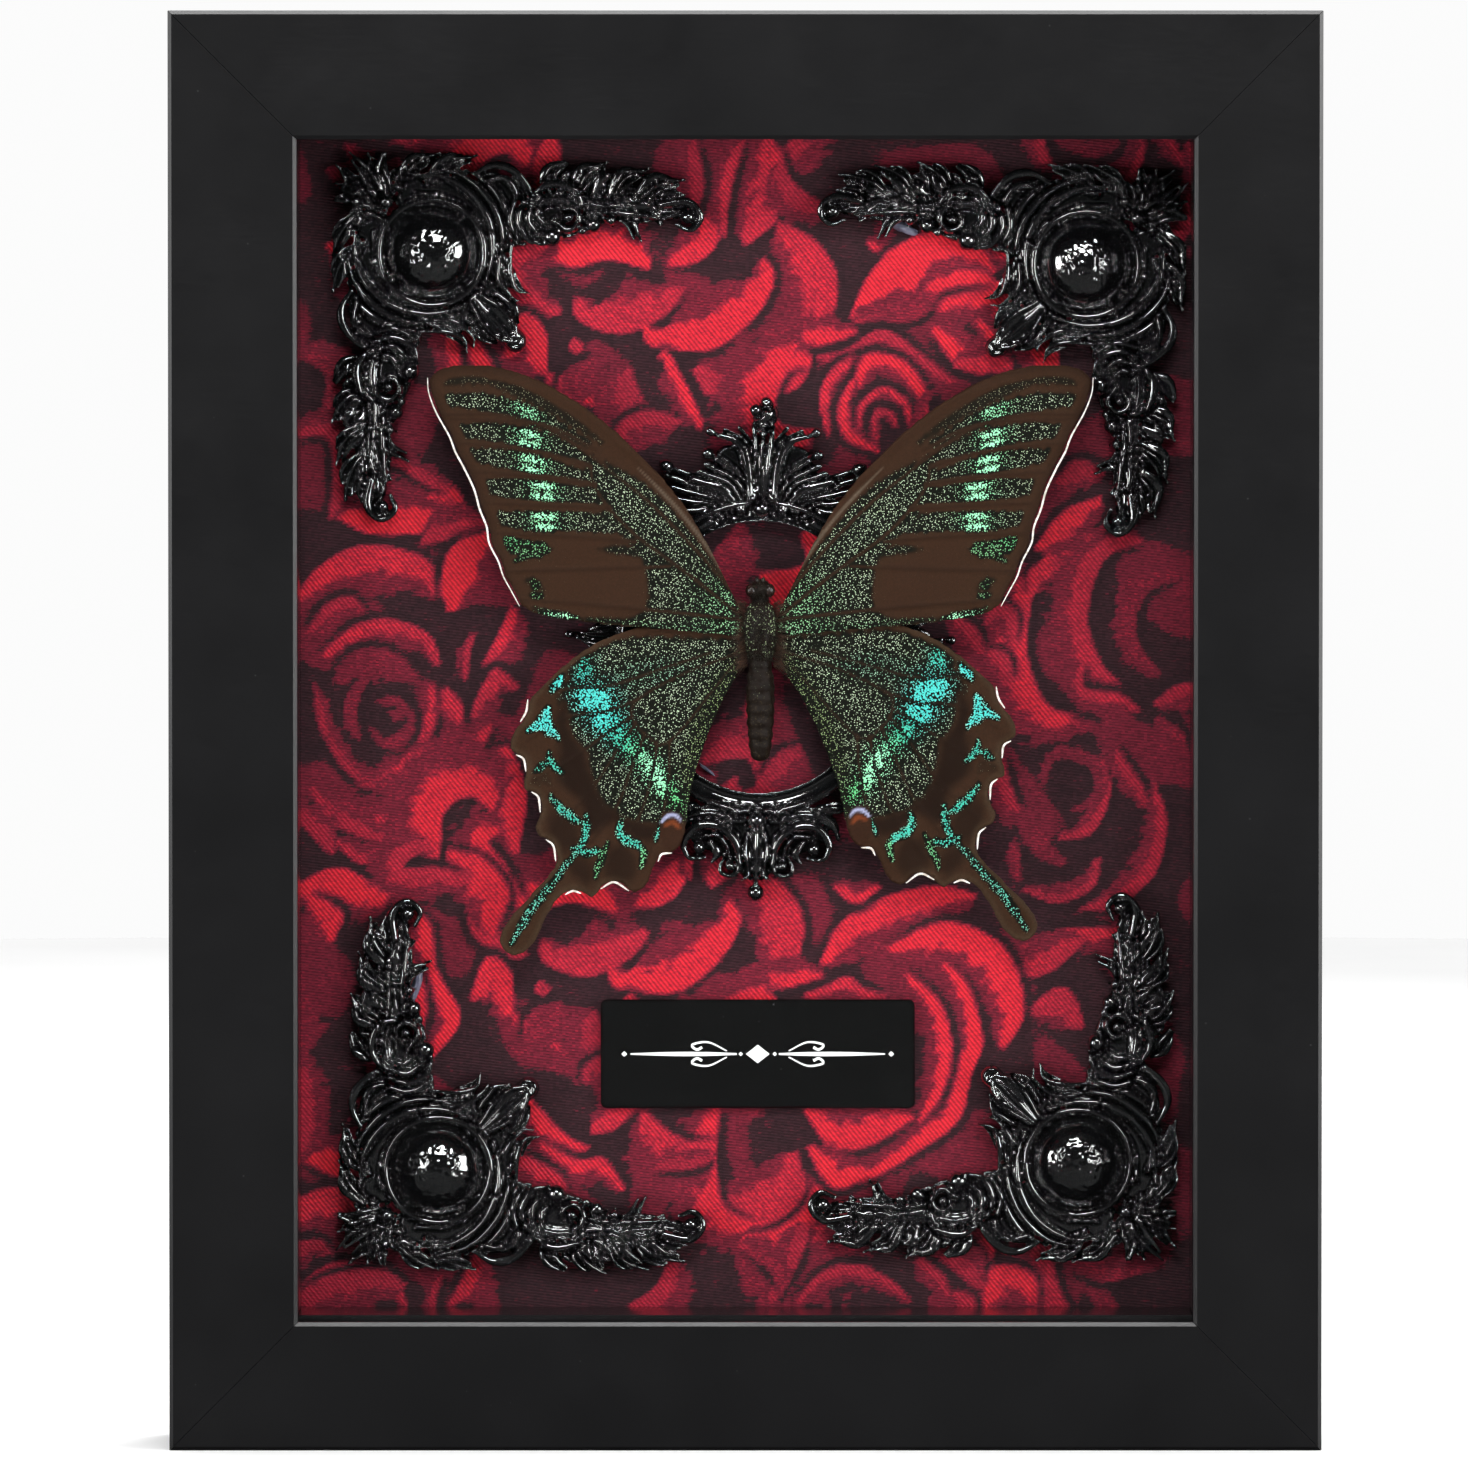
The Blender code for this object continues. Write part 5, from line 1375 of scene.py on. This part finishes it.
def paint_hindwing():
    wing = WingPaint(HINDWING, 4)
    field = [(3.0, -1.6), (12.0, -0.9), (22.0, -1.0), (27.6, -3.6), (29.6, -7.0), (31.0, -11.0),
             (30.6, -16.4), (28.0, -19.6), (27.2, -24.0), (25.6, -28.4), (22.0, -30.4),
             (17.6, -31.0), (13.6, -29.0),
             (11.4, -29.6), (10.6, -24.6), (9.0, -19.6), (7.0, -14.6), (4.6, -9.6), (2.6, -6.0)]
    wing.scatter(wing.region(field, 0.9, 0.5), 0.5)
    inner = wing.band([(3.0, -4.0), (7.4, -12.0), (10.0, -20.0), (12.0, -29.6)], 5.0, 0.7, 0.6, 1.6)
    wing.scatter(inner, 0.42, OLIVE_DUST, 0.75)
    wing.scatter(wing.band([(26.0, -8.8), (20.0, -7.0), (11.0, -6.0)], 4.6, 0.9, 0.2, 1.2), 0.5, TEAL, 0.42)
    # The bright band, cyan at the front edge and green towards the inner one.
    patches = [
        ((28.4, -6.0), 2.0, 1.3, -60, TEAL, 0.8),
        ((26.8, -11.0), 3.5, 2.3, 18, CYAN, 1.0),
        ((24.6, -14.8), 3.1, 2.1, 30, CYAN, 0.95),
        ((22.2, -17.7), 2.1, 1.7, 50, TEAL, 0.95),
        ((19.7, -19.8), 2.2, 1.4, 60, (0.1, 0.6, 0.32), 0.85),
        ((17.4, -22.3), 2.5, 1.6, 62, MINT, 0.95),
        ((15.8, -24.9), 2.3, 1.3, 66, MINT, 0.95),
        ((13.8, -26.9), 1.8, 1.0, 70, (0.16, 0.62, 0.25), 0.85),
    ]
    for centre, length, width, lean, colour, strength in patches:
        wing.scatter(wing.spot(centre, length * 1.6, width * 1.8, lean, 1.6, 0.3), 0.6, colour, 0.7)
        wing.scatter(wing.spot(centre, length, width, lean, 0.7, 0.35), strength, colour, 1.0)
    veins = [
        [(8.0, -3.4), (16.0, -6.0), (24.0, -8.6), (29.6, -9.0), (33.4, -9.6)],
        [(19.6, -10.8), (25.0, -12.8), (30.6, -13.6), (37.6, -17.6)],
        [(20.6, -13.6), (25.4, -16.8), (30.4, -20.6), (36.8, -24.0)],
        [(20.0, -14.6), (23.4, -19.6), (27.6, -26.0), (33.6, -32.4)],
        [(18.6, -16.4), (20.6, -21.6), (23.4, -28.6), (28.6, -35.6)],
        [(16.6, -17.6), (17.6, -23.6), (19.8, -30.4), (24.4, -37.6)],
        [(14.6, -17.6), (14.8, -23.6), (15.8, -29.6), (18.6, -38.0)],
        [(4.0, -3.6), (12.0, -6.6), (19.6, -10.8), (20.6, -13.6), (18.6, -16.4), (14.6, -17.6), (4.6, -5.6)],
    ]
    for line in veins:
        wing.vein(line, 0.42, 0.75)
    # Velvet black between that band and the crescents, and the warm brown margin.
    velvet = [(31.4, -11.4), (33.0, -14.0), (32.4, -18.4), (32.6, -24.0), (29.0, -27.4), (27.4, -32.4),
              (23.6, -30.6), (21.0, -33.0), (17.6, -33.6), (16.4, -31.4), (21.6, -30.0), (25.4, -27.0),
              (27.4, -22.6), (28.4, -19.4), (30.6, -16.0)]
    dark = wing.region(velvet, 1.0, 0.2)
    wing.shade(dark, VELVET)
    wing.clear(dark, 0.8)
    hollows = [((31.6, -32.4), 4.0, 2.2, 60), ((22.6, -37.6), 3.2, 2.6, 80), ((28.8, -38.4), 2.6, 1.6, 50)]
    for centre, length, width, lean in hollows:
        wing.shade(wing.spot(centre, length, width, lean, 1.0) * 0.8, VELVET)
    # Crescents between the veins.
    wing.scatter(wing.spot((32.8, -8.0), 1.9, 0.95, -62, 0.35, 0.2), 1.0, CYAN, 1.0)
    bands = [
        ([(34.0, -12.2), (34.9, -14.4), (33.6, -16.2), (32.6, -17.0)], 1.9, CYAN, 1.0),
        ([(37.4, -15.8), (35.4, -15.0), (34.4, -14.8)], 1.7, CYAN, 0.95),
        ([(34.0, -19.6), (34.0, -21.0), (31.8, -22.8)], 1.3, TEAL, 0.85),
        ([(36.4, -22.6), (35.0, -21.6), (34.0, -21.0)], 1.3, TEAL, 0.7),
        ([(33.8, -26.6), (32.6, -28.0), (30.0, -30.2), (28.2, -31.0)], 1.5, TEAL, 0.9),
        ([(28.0, -29.8), (28.2, -33.0), (29.4, -35.4)], 1.4, TEAL, 0.85),
        ([(30.4, -35.0), (28.0, -35.6), (25.4, -35.4)], 1.4, TEAL, 0.85),
        ([(24.8, -34.2), (25.6, -36.4), (26.6, -39.6)], 1.3, GREEN_DUST, 0.7),
        ([(22.4, -30.6), (22.4, -33.0), (20.0, -34.4), (18.9, -35.4)], 1.6, TEAL, 0.95),
        ([(18.8, -34.8), (18.8, -36.2), (19.2, -38.0)], 1.2, GREEN_DUST, 0.8),
        ([(16.8, -33.8), (16.0, -30.8), (14.8, -29.6)], 0.9, TEAL, 0.9),
        ([(29.8, -35.6), (34.0, -40.8), (37.6, -45.8), (40.2, -50.4)], 1.7, (0.14, 0.55, 0.42), 0.72),
    ]
    for line, width, colour, strength in bands:
        wing.scatter(wing.band(line, width, 0.55, 0.5, 0.4, 0.3), strength, colour, 1.0)
    wing.scatter(wing.spot((35.2, -24.0), 2.2, 1.2, 0, 0.8, 0.4), 0.2, GREY_DUST, 0.6)
    # The eyespot by the inner corner.
    wing.clear(wing.spot((14.2, -32.2), 3.2, 2.0, 80, 0.3, 0.05))
    wing.shade(wing.spot((14.2, -32.8), 2.9, 1.9, 80, 0.3, 0.05), (0.03, 0.011, 0.005))
    warm = wing.band([(15.2, -31.2), (14.1, -30.7), (13.1, -31.6)], 0.7, 0.8, 0.7, 0.25, 0.05)
    wing.shade(warm, (0.16, 0.035, 0.01))
    pale = wing.band([(15.9, -30.6), (14.9, -29.7), (13.6, -29.6), (12.8, -30.5)], 0.5, 0.7, 0.4, 0.2, 0.05)
    wing.shade(pale, (0.4, 0.42, 0.62))
    wing.clear(pale)
    edge = smooth(1.5 - wing.depth, 0, 1.0)
    wing.shade(edge * 0.6 * smooth(wing.x, 18, 28), (0.05, 0.03, 0.016))
    wing.clear(edge * smooth(wing.x, 14, 20), 0.9)
    wing.relief += 0.16 * wing.band([(3.0, -1.2), (17.0, 0.6), (29.0, -3.6), (35.6, -9.4)], 1.6, 0.8, 0.4)
    return wing


def make_wing(name, paint, side, spread, root_height, climb, material):
    """Lifts a painted wing off the cloth. It climbs away from the body, bows and ripples at its rim.

    It gives a function that finds the place and height of points on the wing.
    """
    x, z = paint.x, paint.z
    bow = 0.5 * np.sin(np.clip(x / 54, 0, 1) * np.pi)
    rim = smooth(4.0 - paint.depth, 0, 4.0) * ripple(x, z, 9, 5 + side)
    top = root_height + climb * x + bow + 0.28 * rim + paint.relief
    edge_thinning = smooth(paint.depth, 0, 1.2)
    bottom = top - WING_THICKNESS * (0.5 + 0.5 * edge_thinning) - 0.5 * paint.relief
    cx, cz = BUTTERFLY_PLACE
    c, s = math.cos(math.radians(spread)), math.sin(math.radians(spread))

    def place(u, v):
        return cx + side * (u * c - v * s), cz + u * s + v * c

    mesh, used = grid_solid(name, paint.grid, paint.depth > 0, top, bottom, place, flip=side < 0)
    paint_attribute(mesh, "ground", "FLOAT_COLOR", used, paint.ground)
    paint_attribute(mesh, "dust", "FLOAT_COLOR", used, paint.dust)
    paint_attribute(mesh, "dusting", "FLOAT", used, paint.density)
    piece = new_piece(name + "_scaled", mesh, material)
    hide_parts(name)

    def surface(line):
        """The wing's height at points of a line, read from the nearest grid points."""
        nearest = []
        for axis, marks in enumerate((paint.grid.xs, paint.grid.zs)):
            steps = np.rint((line[:, axis] - marks[0]) / paint.grid.pitch).astype(int)
            nearest.append(np.clip(steps, 0, len(marks) - 1))
        heights = top[nearest[0], nearest[1]]
        if len(heights) > 4:
            heights = np.convolve(np.pad(heights, 2, "edge"), np.ones(5) / 5, "valid")
        return np.stack(place(line[:, 0], line[:, 1]), -1), heights

    return surface


FORE_FRINGE = [
    (53.6, 41.0), (53.4, 38.6), (52.2, 35.4), (50.1, 31.6), (49.1, 29.0), (47.8, 26.6), (46.1, 23.0),
    (45.2, 19.8), (44.1, 17.0), (43.7, 14.4), (42.2, 11.4), (41.4, 9.0), (40.1, 6.6), (38.8, 4.2),
]
HIND_FRINGES = [
    [(37.5, -10.9), (37.75, -12.8), (38.7, -14.5)],
    [(39.4, -19.8), (38.2, -20.5), (37.8, -22.5)],
    [(36.9, -25.8), (35.8, -26.7), (35.5, -29.1)],
    [(34.6, -33.5), (33.4, -34.5), (33.0, -37.0)],
    [(31.5, -42.4), (30.2, -41.8), (28.9, -42.2)],
    [(25.8, -41.5), (23.6, -40.4), (21.2, -41.8)],
    [(16.5, -37.1), (15.9, -35.9), (14.3, -35.7)],
]


def make_wings(material, fringe):
    """The four wings, and the white fringes along their rims."""
    fore, hind = paint_forewing(), paint_hindwing()
    for side, sign, spread in (("left", -1, 0.0), ("right", 1, RIGHT_HINDWING_SPREAD)):
        lift = (FOREWING_HEIGHT, FOREWING_CLIMB)
        on_fore = make_wing(f"forewing_{side}", fore, sign, 0.0, *lift, material)
        lift = (HINDWING_HEIGHT, HINDWING_CLIMB)
        on_hind = make_wing(f"hindwing_{side}", hind, sign, spread, *lift, material)
        parts = []
        for lines, surface, width in (([FORE_FRINGE], on_fore, 0.42), (HIND_FRINGES, on_hind, 0.46)):
            for points in lines:
                line, heights = surface(curve(points, 0.4))
                share = np.linspace(0, 1, len(line))
                taper = 0.72 * width * np.sqrt(np.sin(np.pi * (0.04 + 0.92 * share)))
                parts.append(ribbon(line, taper, heights + 0.07, 0.2))
        new_piece(f"wing_fringe_{side}", joined(f"wing_fringe_{side}", parts), fringe)


# ---- the butterfly's body ----

# The body's outline, as (distance up from the middle of the thorax, radius).
BODY_PROFILE = [
    (8.5, 0.15), (8.1, 1.1), (7.2, 1.75), (6.2, 1.8), (5.3, 1.25), (4.7, 1.4), (3.8, 2.1), (1.5, 2.65),
    (-1.6, 2.55), (-4.0, 1.95), (-5.2, 1.75), (-8.0, 2.15), (-11.5, 2.2), (-15.0, 2.05), (-18.0, 1.8),
    (-19.8, 1.5), (-20.6, 1.0), (-20.9, 0.1),
]
BODY_HEIGHT = 7.2


def make_body(skin):
    """Head, thorax and ringed abdomen, with scales thickest on the thorax."""
    profile = curve(BODY_PROFILE, 0.22)
    along, radius = profile[:, 0], np.maximum(profile[:, 1], 0.05)
    rings = 0.1 * np.sin(along * 2 * np.pi / 1.9) * (along < -4.6) * smooth(-along, 4.6, 6.0)
    rings *= smooth(along, -20.5, -18)
    sides = 48
    angle = np.arange(sides) * 2 * math.pi / sides
    v, turn = np.meshgrid(along, angle, indexing="ij")
    reach = (radius + rings)[:, None] * (1 + 0.04 * ripple(v, turn * 2, 1.4, 41))
    groove = np.exp(-(np.cos(turn) ** 2) / 0.02) * (np.sin(turn) > 0) * smooth(v, -3, 0) * (v < 4.2)
    reach = reach * (1 - 0.1 * groove)
    x = reach * np.cos(turn) * 1.02
    height = BODY_HEIGHT + reach * np.sin(turn) * 0.96
    cx, cz = BUTTERFLY_PLACE
    points = box_place(cx + x, cz + v, height).reshape(-1, 3)
    count = len(along)
    row = np.arange(count - 1)[:, None] * sides
    column = np.arange(sides)[None, :]
    after = (column + 1) % sides
    quads = np.stack([row + column, row + after, row + sides + after, row + sides + column], -1)
    ends = [np.arange(sides)[::-1][None, :], (count - 1) * sides + np.arange(sides)[None, :]]
    mesh = mesh_of("butterfly_body_scaled", points, [quads.reshape(-1, 4), *ends])
    turn_outwards(mesh)
    flank = np.abs(np.cos(turn))
    thorax = smooth(v, -5.0, -3.0) * (1 - smooth(v, 4.0, 5.4))
    belly = 1 - smooth(v, -10.6, -9.4)
    density = 0.46 * thorax * (0.35 + 0.65 * flank) + 0.3 * belly + 0.16 * (v < 8)
    dust = np.empty((*v.shape, 3))
    dust[:] = (0.36, 0.46, 0.27)
    dust = dust * (1 - belly[..., None]) + np.array((0.03, 0.02, 0.008)) * belly[..., None]
    colours = np.concatenate([dust, np.ones((*v.shape, 1))], -1).astype(np.float32)
    mesh.attributes.new("dust", "FLOAT_COLOR", "POINT").data.foreach_set("color", colours.ravel())
    thickness = density.astype(np.float32).ravel()
    mesh.attributes.new("dusting", "FLOAT", "POINT").data.foreach_set("value", thickness)
    piece = new_piece("butterfly_body_scaled", mesh, skin)
    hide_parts("butterfly_body")


HAIR_THICKNESS = 0.035


def hair_mesh(name, roots, tips):
    """Many thin tapered hairs, each a three-sided spike, as one mesh."""
    along = tips - roots
    length = np.maximum(np.linalg.norm(along, axis=1, keepdims=True), 1e-6)
    side = np.cross(along / length, (0.37, 0.81, 0.45))
    side /= np.linalg.norm(side, axis=1, keepdims=True)
    other = np.cross(along / length, side)
    corners = []
    for k in range(3):
        angle = 2 * math.pi * k / 3
        corners.append(roots + HAIR_THICKNESS * (math.cos(angle) * side + math.sin(angle) * other))
    points = np.stack([*corners, tips], 1).reshape(-1, 3)
    start = np.arange(len(roots))[:, None] * 4
    faces = [start + np.array(face)[None, :] for face in ((0, 1, 3), (1, 2, 3), (2, 0, 3), (2, 1, 0))]
    world = box_place(points[:, 0], points[:, 2], points[:, 1])
    return mesh_of(name, world, faces)


def make_hair(material, tuft_material):
    """Short hair over the thorax and the head, and longer tufts where the wings join."""
    random = np.random.default_rng(8)
    cx, cz = BUTTERFLY_PLACE
    profile = np.array(BODY_PROFILE)[::-1]

    count = 2600
    on_thorax = count * 3 // 4
    v = [random.uniform(-4.6, 4.8, on_thorax), random.uniform(5.0, 8.2, count - on_thorax)]
    v = np.concatenate(v)
    angle = random.uniform(-0.2, math.pi + 0.2, count)
    radius = np.interp(v, profile[:, 0], profile[:, 1])
    outward = np.stack([np.cos(angle), np.sin(angle), np.zeros(count)], -1)
    roots = np.stack([cx + radius * outward[:, 0], BODY_HEIGHT + radius * outward[:, 1] * 0.94, cz + v], -1)
    spreads = ((0, 0.3), (0, 0.2), (-0.5, 0.35))
    lean = np.stack([random.normal(mean, spread, count) for mean, spread in spreads], -1)
    length = random.uniform(0.5, 1.15, count)[:, None]
    mesh = hair_mesh("body_hair", roots, roots + (0.55 * outward + lean) * length)
    new_piece("body_hair", mesh, material)

    count = 1500
    side = random.choice([-1.0, 1.0], count)
    v = random.uniform(-5.6, 4.6, count)
    out = side * random.uniform(2.0, 3.2, count)
    roots = np.stack([cx + out, random.uniform(6.6, 8.4, count), cz + v], -1)
    sideways = side * random.uniform(0.5, 1.0, count)
    forward = random.normal(0.12, 0.1, count)
    away = np.stack([sideways, forward, v * 0.09 + random.normal(0, 0.22, count)], -1)
    length = random.uniform(1.2, 3.2, count)[:, None]
    mesh = hair_mesh("wing_base_hair", roots, roots + away * length)
    new_piece("wing_base_hair", mesh, tuft_material)


def lump(name, centre, radii, material, seed, turn, roughness):
    """A rounded, uneven lump."""
    ball = bmesh.new()
    bmesh.ops.create_icosphere(ball, subdivisions=4, radius=1)
    directions = np.array([vert.co for vert in ball.verts])
    uneven = 1 + roughness * ripple(directions[:, 0] * 2 + directions[:, 1], directions[:, 2] * 2, 1.5, seed)
    x, z = directions[:, 0] * radii[0] * uneven, directions[:, 2] * radii[2] * uneven
    x, z = turned(x, z, centre[:2], turn)
    world = box_place(x, z, centre[2] + directions[:, 1] * radii[1] * uneven)
    for vert, place in zip(ball.verts, world):
        vert.co = place
    bmesh.ops.recalc_face_normals(ball, faces=ball.faces)
    mesh = bpy.data.meshes.new(name)
    ball.to_mesh(mesh)
    ball.free()
    mesh.shade_smooth()
    new_piece(name, mesh, material)


def make_head(eye, skin_hair):
    """The eyes, and the palps between them."""
    cx, cz = BUTTERFLY_PLACE
    for side, sign in (("left", -1), ("right", 1)):
        centre = (cx + sign * 1.45, cz + 6.7, BODY_HEIGHT + 0.5)
        lump(f"eye_{side}", centre, (0.95, 1.05, 1.1), eye, 50, 0, 0.02)
        centre = (cx + sign * 0.42, cz + 8.1, BODY_HEIGHT + 0.4)
        lump(f"palp_{side}", centre, (0.4, 0.5, 0.7), skin_hair, 52, sign * 8, 0.1)


def make_glue(material):
    """What squeezed out beside the castings when they were glued down."""
    blobs = {
        "glue_top_right": ((25.6, 80.6, 0.5), (2.4, 0.9, 0.8), 24),
        "glue_bottom_left": ((-53.2, -41.9, 0.5), (0.7, 0.9, 3.0), 14),
        "glue_oval": ((-6.2, -7.0, 0.5), (1.6, 0.8, 0.3), 38),
        "glue_bottom": ((-31.2, -75.0, 0.3), (1.2, 0.6, 0.5), 10),
    }
    for index, (name, (centre, radii, turn)) in enumerate(blobs.items()):
        lump(name, centre, radii, material, 60 + index, turn, 0.14)


# ---- finishes for the frame's own parts ----


def repaint(material, *names):
    """Gives the frame's own parts a material."""
    for name in names:
        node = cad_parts[name]
        node.data.materials.clear()
        node.data.materials.append(material)


def finish_frame():
    sides = ("top", "bottom", "left", "right")
    repaint(painted_wood(), *[f"frame_rail_{side}" for side in sides])
    repaint(gloss_liner(), *[f"liner_{side}" for side in sides])
    repaint(clear_glass(), "glass_pane")
    repaint(fibreboard("mount_board", (0.5, 0.48, 0.42), (0.66, 0.64, 0.58)), "mount_board")
    repaint(fibreboard("backboard_brown", (0.09, 0.05, 0.025), (0.2, 0.125, 0.07)), "backboard")
    repaint(plate_plastic(), "nameplate")
    steel = plated_steel()
    points = [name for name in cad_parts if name.startswith(("frame_point", "hanger_nail"))]
    repaint(steel, "sawtooth_hanger", *points)


# ---- camera, lights and floor ----


def add_camera():
    """A long lens, aimed at the front from a little above the middle."""
    distance = 2.5
    seen_width = 235.1 * MM
    aim = Vector((MIDDLE.x - 1.84 * MM, FRONT, MIDDLE.z - 0.35 * MM))
    data = bpy.data.cameras.new("camera")
    data.sensor_width = 36
    data.lens = data.sensor_width * distance / seen_width
    camera = bpy.data.objects.new("camera", data)
    bpy.context.scene.collection.objects.link(camera)
    camera.location = (aim.x, FRONT - distance, MIDDLE.z + EYE_RISE * MM)
    camera.rotation_euler = (aim - camera.location).to_track_quat("-Z", "Y").to_euler()
    bpy.context.scene.camera = camera


def add_light(name, place, size, watts, facing=None):
    """A soft panel. place is measured from the object's middle, which it faces unless told otherwise."""
    data = bpy.data.lights.new(name, "AREA")
    data.shape = "RECTANGLE"
    data.size, data.size_y = size
    data.energy = watts
    light = bpy.data.objects.new(name, data)
    bpy.context.scene.collection.objects.link(light)
    light.location = Vector(place) + MIDDLE
    direction = MIDDLE - light.location if facing is None else Vector(facing)
    light.rotation_euler = direction.to_track_quat("-Z", "Y").to_euler()
    light.visible_camera = False


def add_surroundings():
    """A pale room for the eye, and dimmer light from it on the object."""
    world = bpy.data.worlds.new("pale_room")
    bpy.context.scene.world = world
    world.use_nodes = True
    nodes, links = world.node_tree.nodes, world.node_tree.links
    room = nodes["Background"]
    room.inputs["Color"].default_value = (1, 1, 1, 1)
    room.inputs["Strength"].default_value = 0.03
    seen = nodes.new("ShaderNodeBackground")
    seen.inputs["Strength"].default_value = 1.0
    seen.inputs["Color"].default_value = (0.97, 0.97, 0.97, 1)
    path = nodes.new("ShaderNodeLightPath")
    either = nodes.new("ShaderNodeMixShader")
    links.new(path.outputs["Is Camera Ray"], either.inputs[0])
    links.new(room.outputs[0], either.inputs[1])
    links.new(seen.outputs[0], either.inputs[2])
    links.new(either.outputs[0], nodes["World Output"].inputs["Surface"])

    bm = bmesh.new()
    bmesh.ops.create_circle(bm, cap_ends=True, segments=64, radius=1.6)
    mesh = bpy.data.meshes.new("floor")
    bm.to_mesh(mesh)
    bm.free()
    mesh.materials.append(pale_floor())
    floor = bpy.data.objects.new("floor", mesh)
    bpy.context.scene.collection.objects.link(floor)


def light_scene():
    add_light("key", (0.0, -0.7, 0.52), (0.4, 0.16), 4.2)
    add_light("right_window", (0.71, -0.56, 0.08), (0.28, 0.5), 5.4)
    add_light("left_window", (-0.78, -0.47, 0.08), (0.22, 0.42), 5.4)
    add_light("right_strip", (0.42, -0.68, 0.06), (0.06, 0.45), 1.0)
    add_light("left_strip", (-0.42, -0.68, 0.06), (0.06, 0.45), 1.0)
    add_light("right_card", (1.1, -0.05, 0.1), (0.6, 0.4), 6)
    add_light("left_card", (-1.1, -0.05, 0.1), (0.6, 0.4), 3)
    add_light("top_card", (0.0, -0.04, 0.6), (0.34, 0.16), 2.4)
    add_light("back", (0.5, 0.9, 0.5), (0.8, 0.8), 10)
    add_light("floor_panel", (0.0, 1.5, 1.7), (3.0, 2.4), 60, facing=(0, 0, -1))


def main():
    bpy.context.scene.view_settings.view_transform = "Standard"
    add_camera()
    add_surroundings()
    light_scene()
    finish_frame()
    make_cloth(rose_jacquard())
    resin = cast_resin()
    make_corner_ornaments(resin)
    make_cartouche(resin)
    make_plate_mark(white_ink())
    make_wings(scaled_wing(), fringe_scales())
    make_body(body_skin())
    hair = body_hair("body_hair_brown", (0.005, 0.003, 0.002), (0.026, 0.02, 0.012))
    tufts = body_hair("wing_base_hair_brown", (0.014, 0.007, 0.004), (0.085, 0.04, 0.022))
    make_hair(hair, tufts)
    make_head(eye_gloss(), hair)
    make_glue(hot_glue())


main()
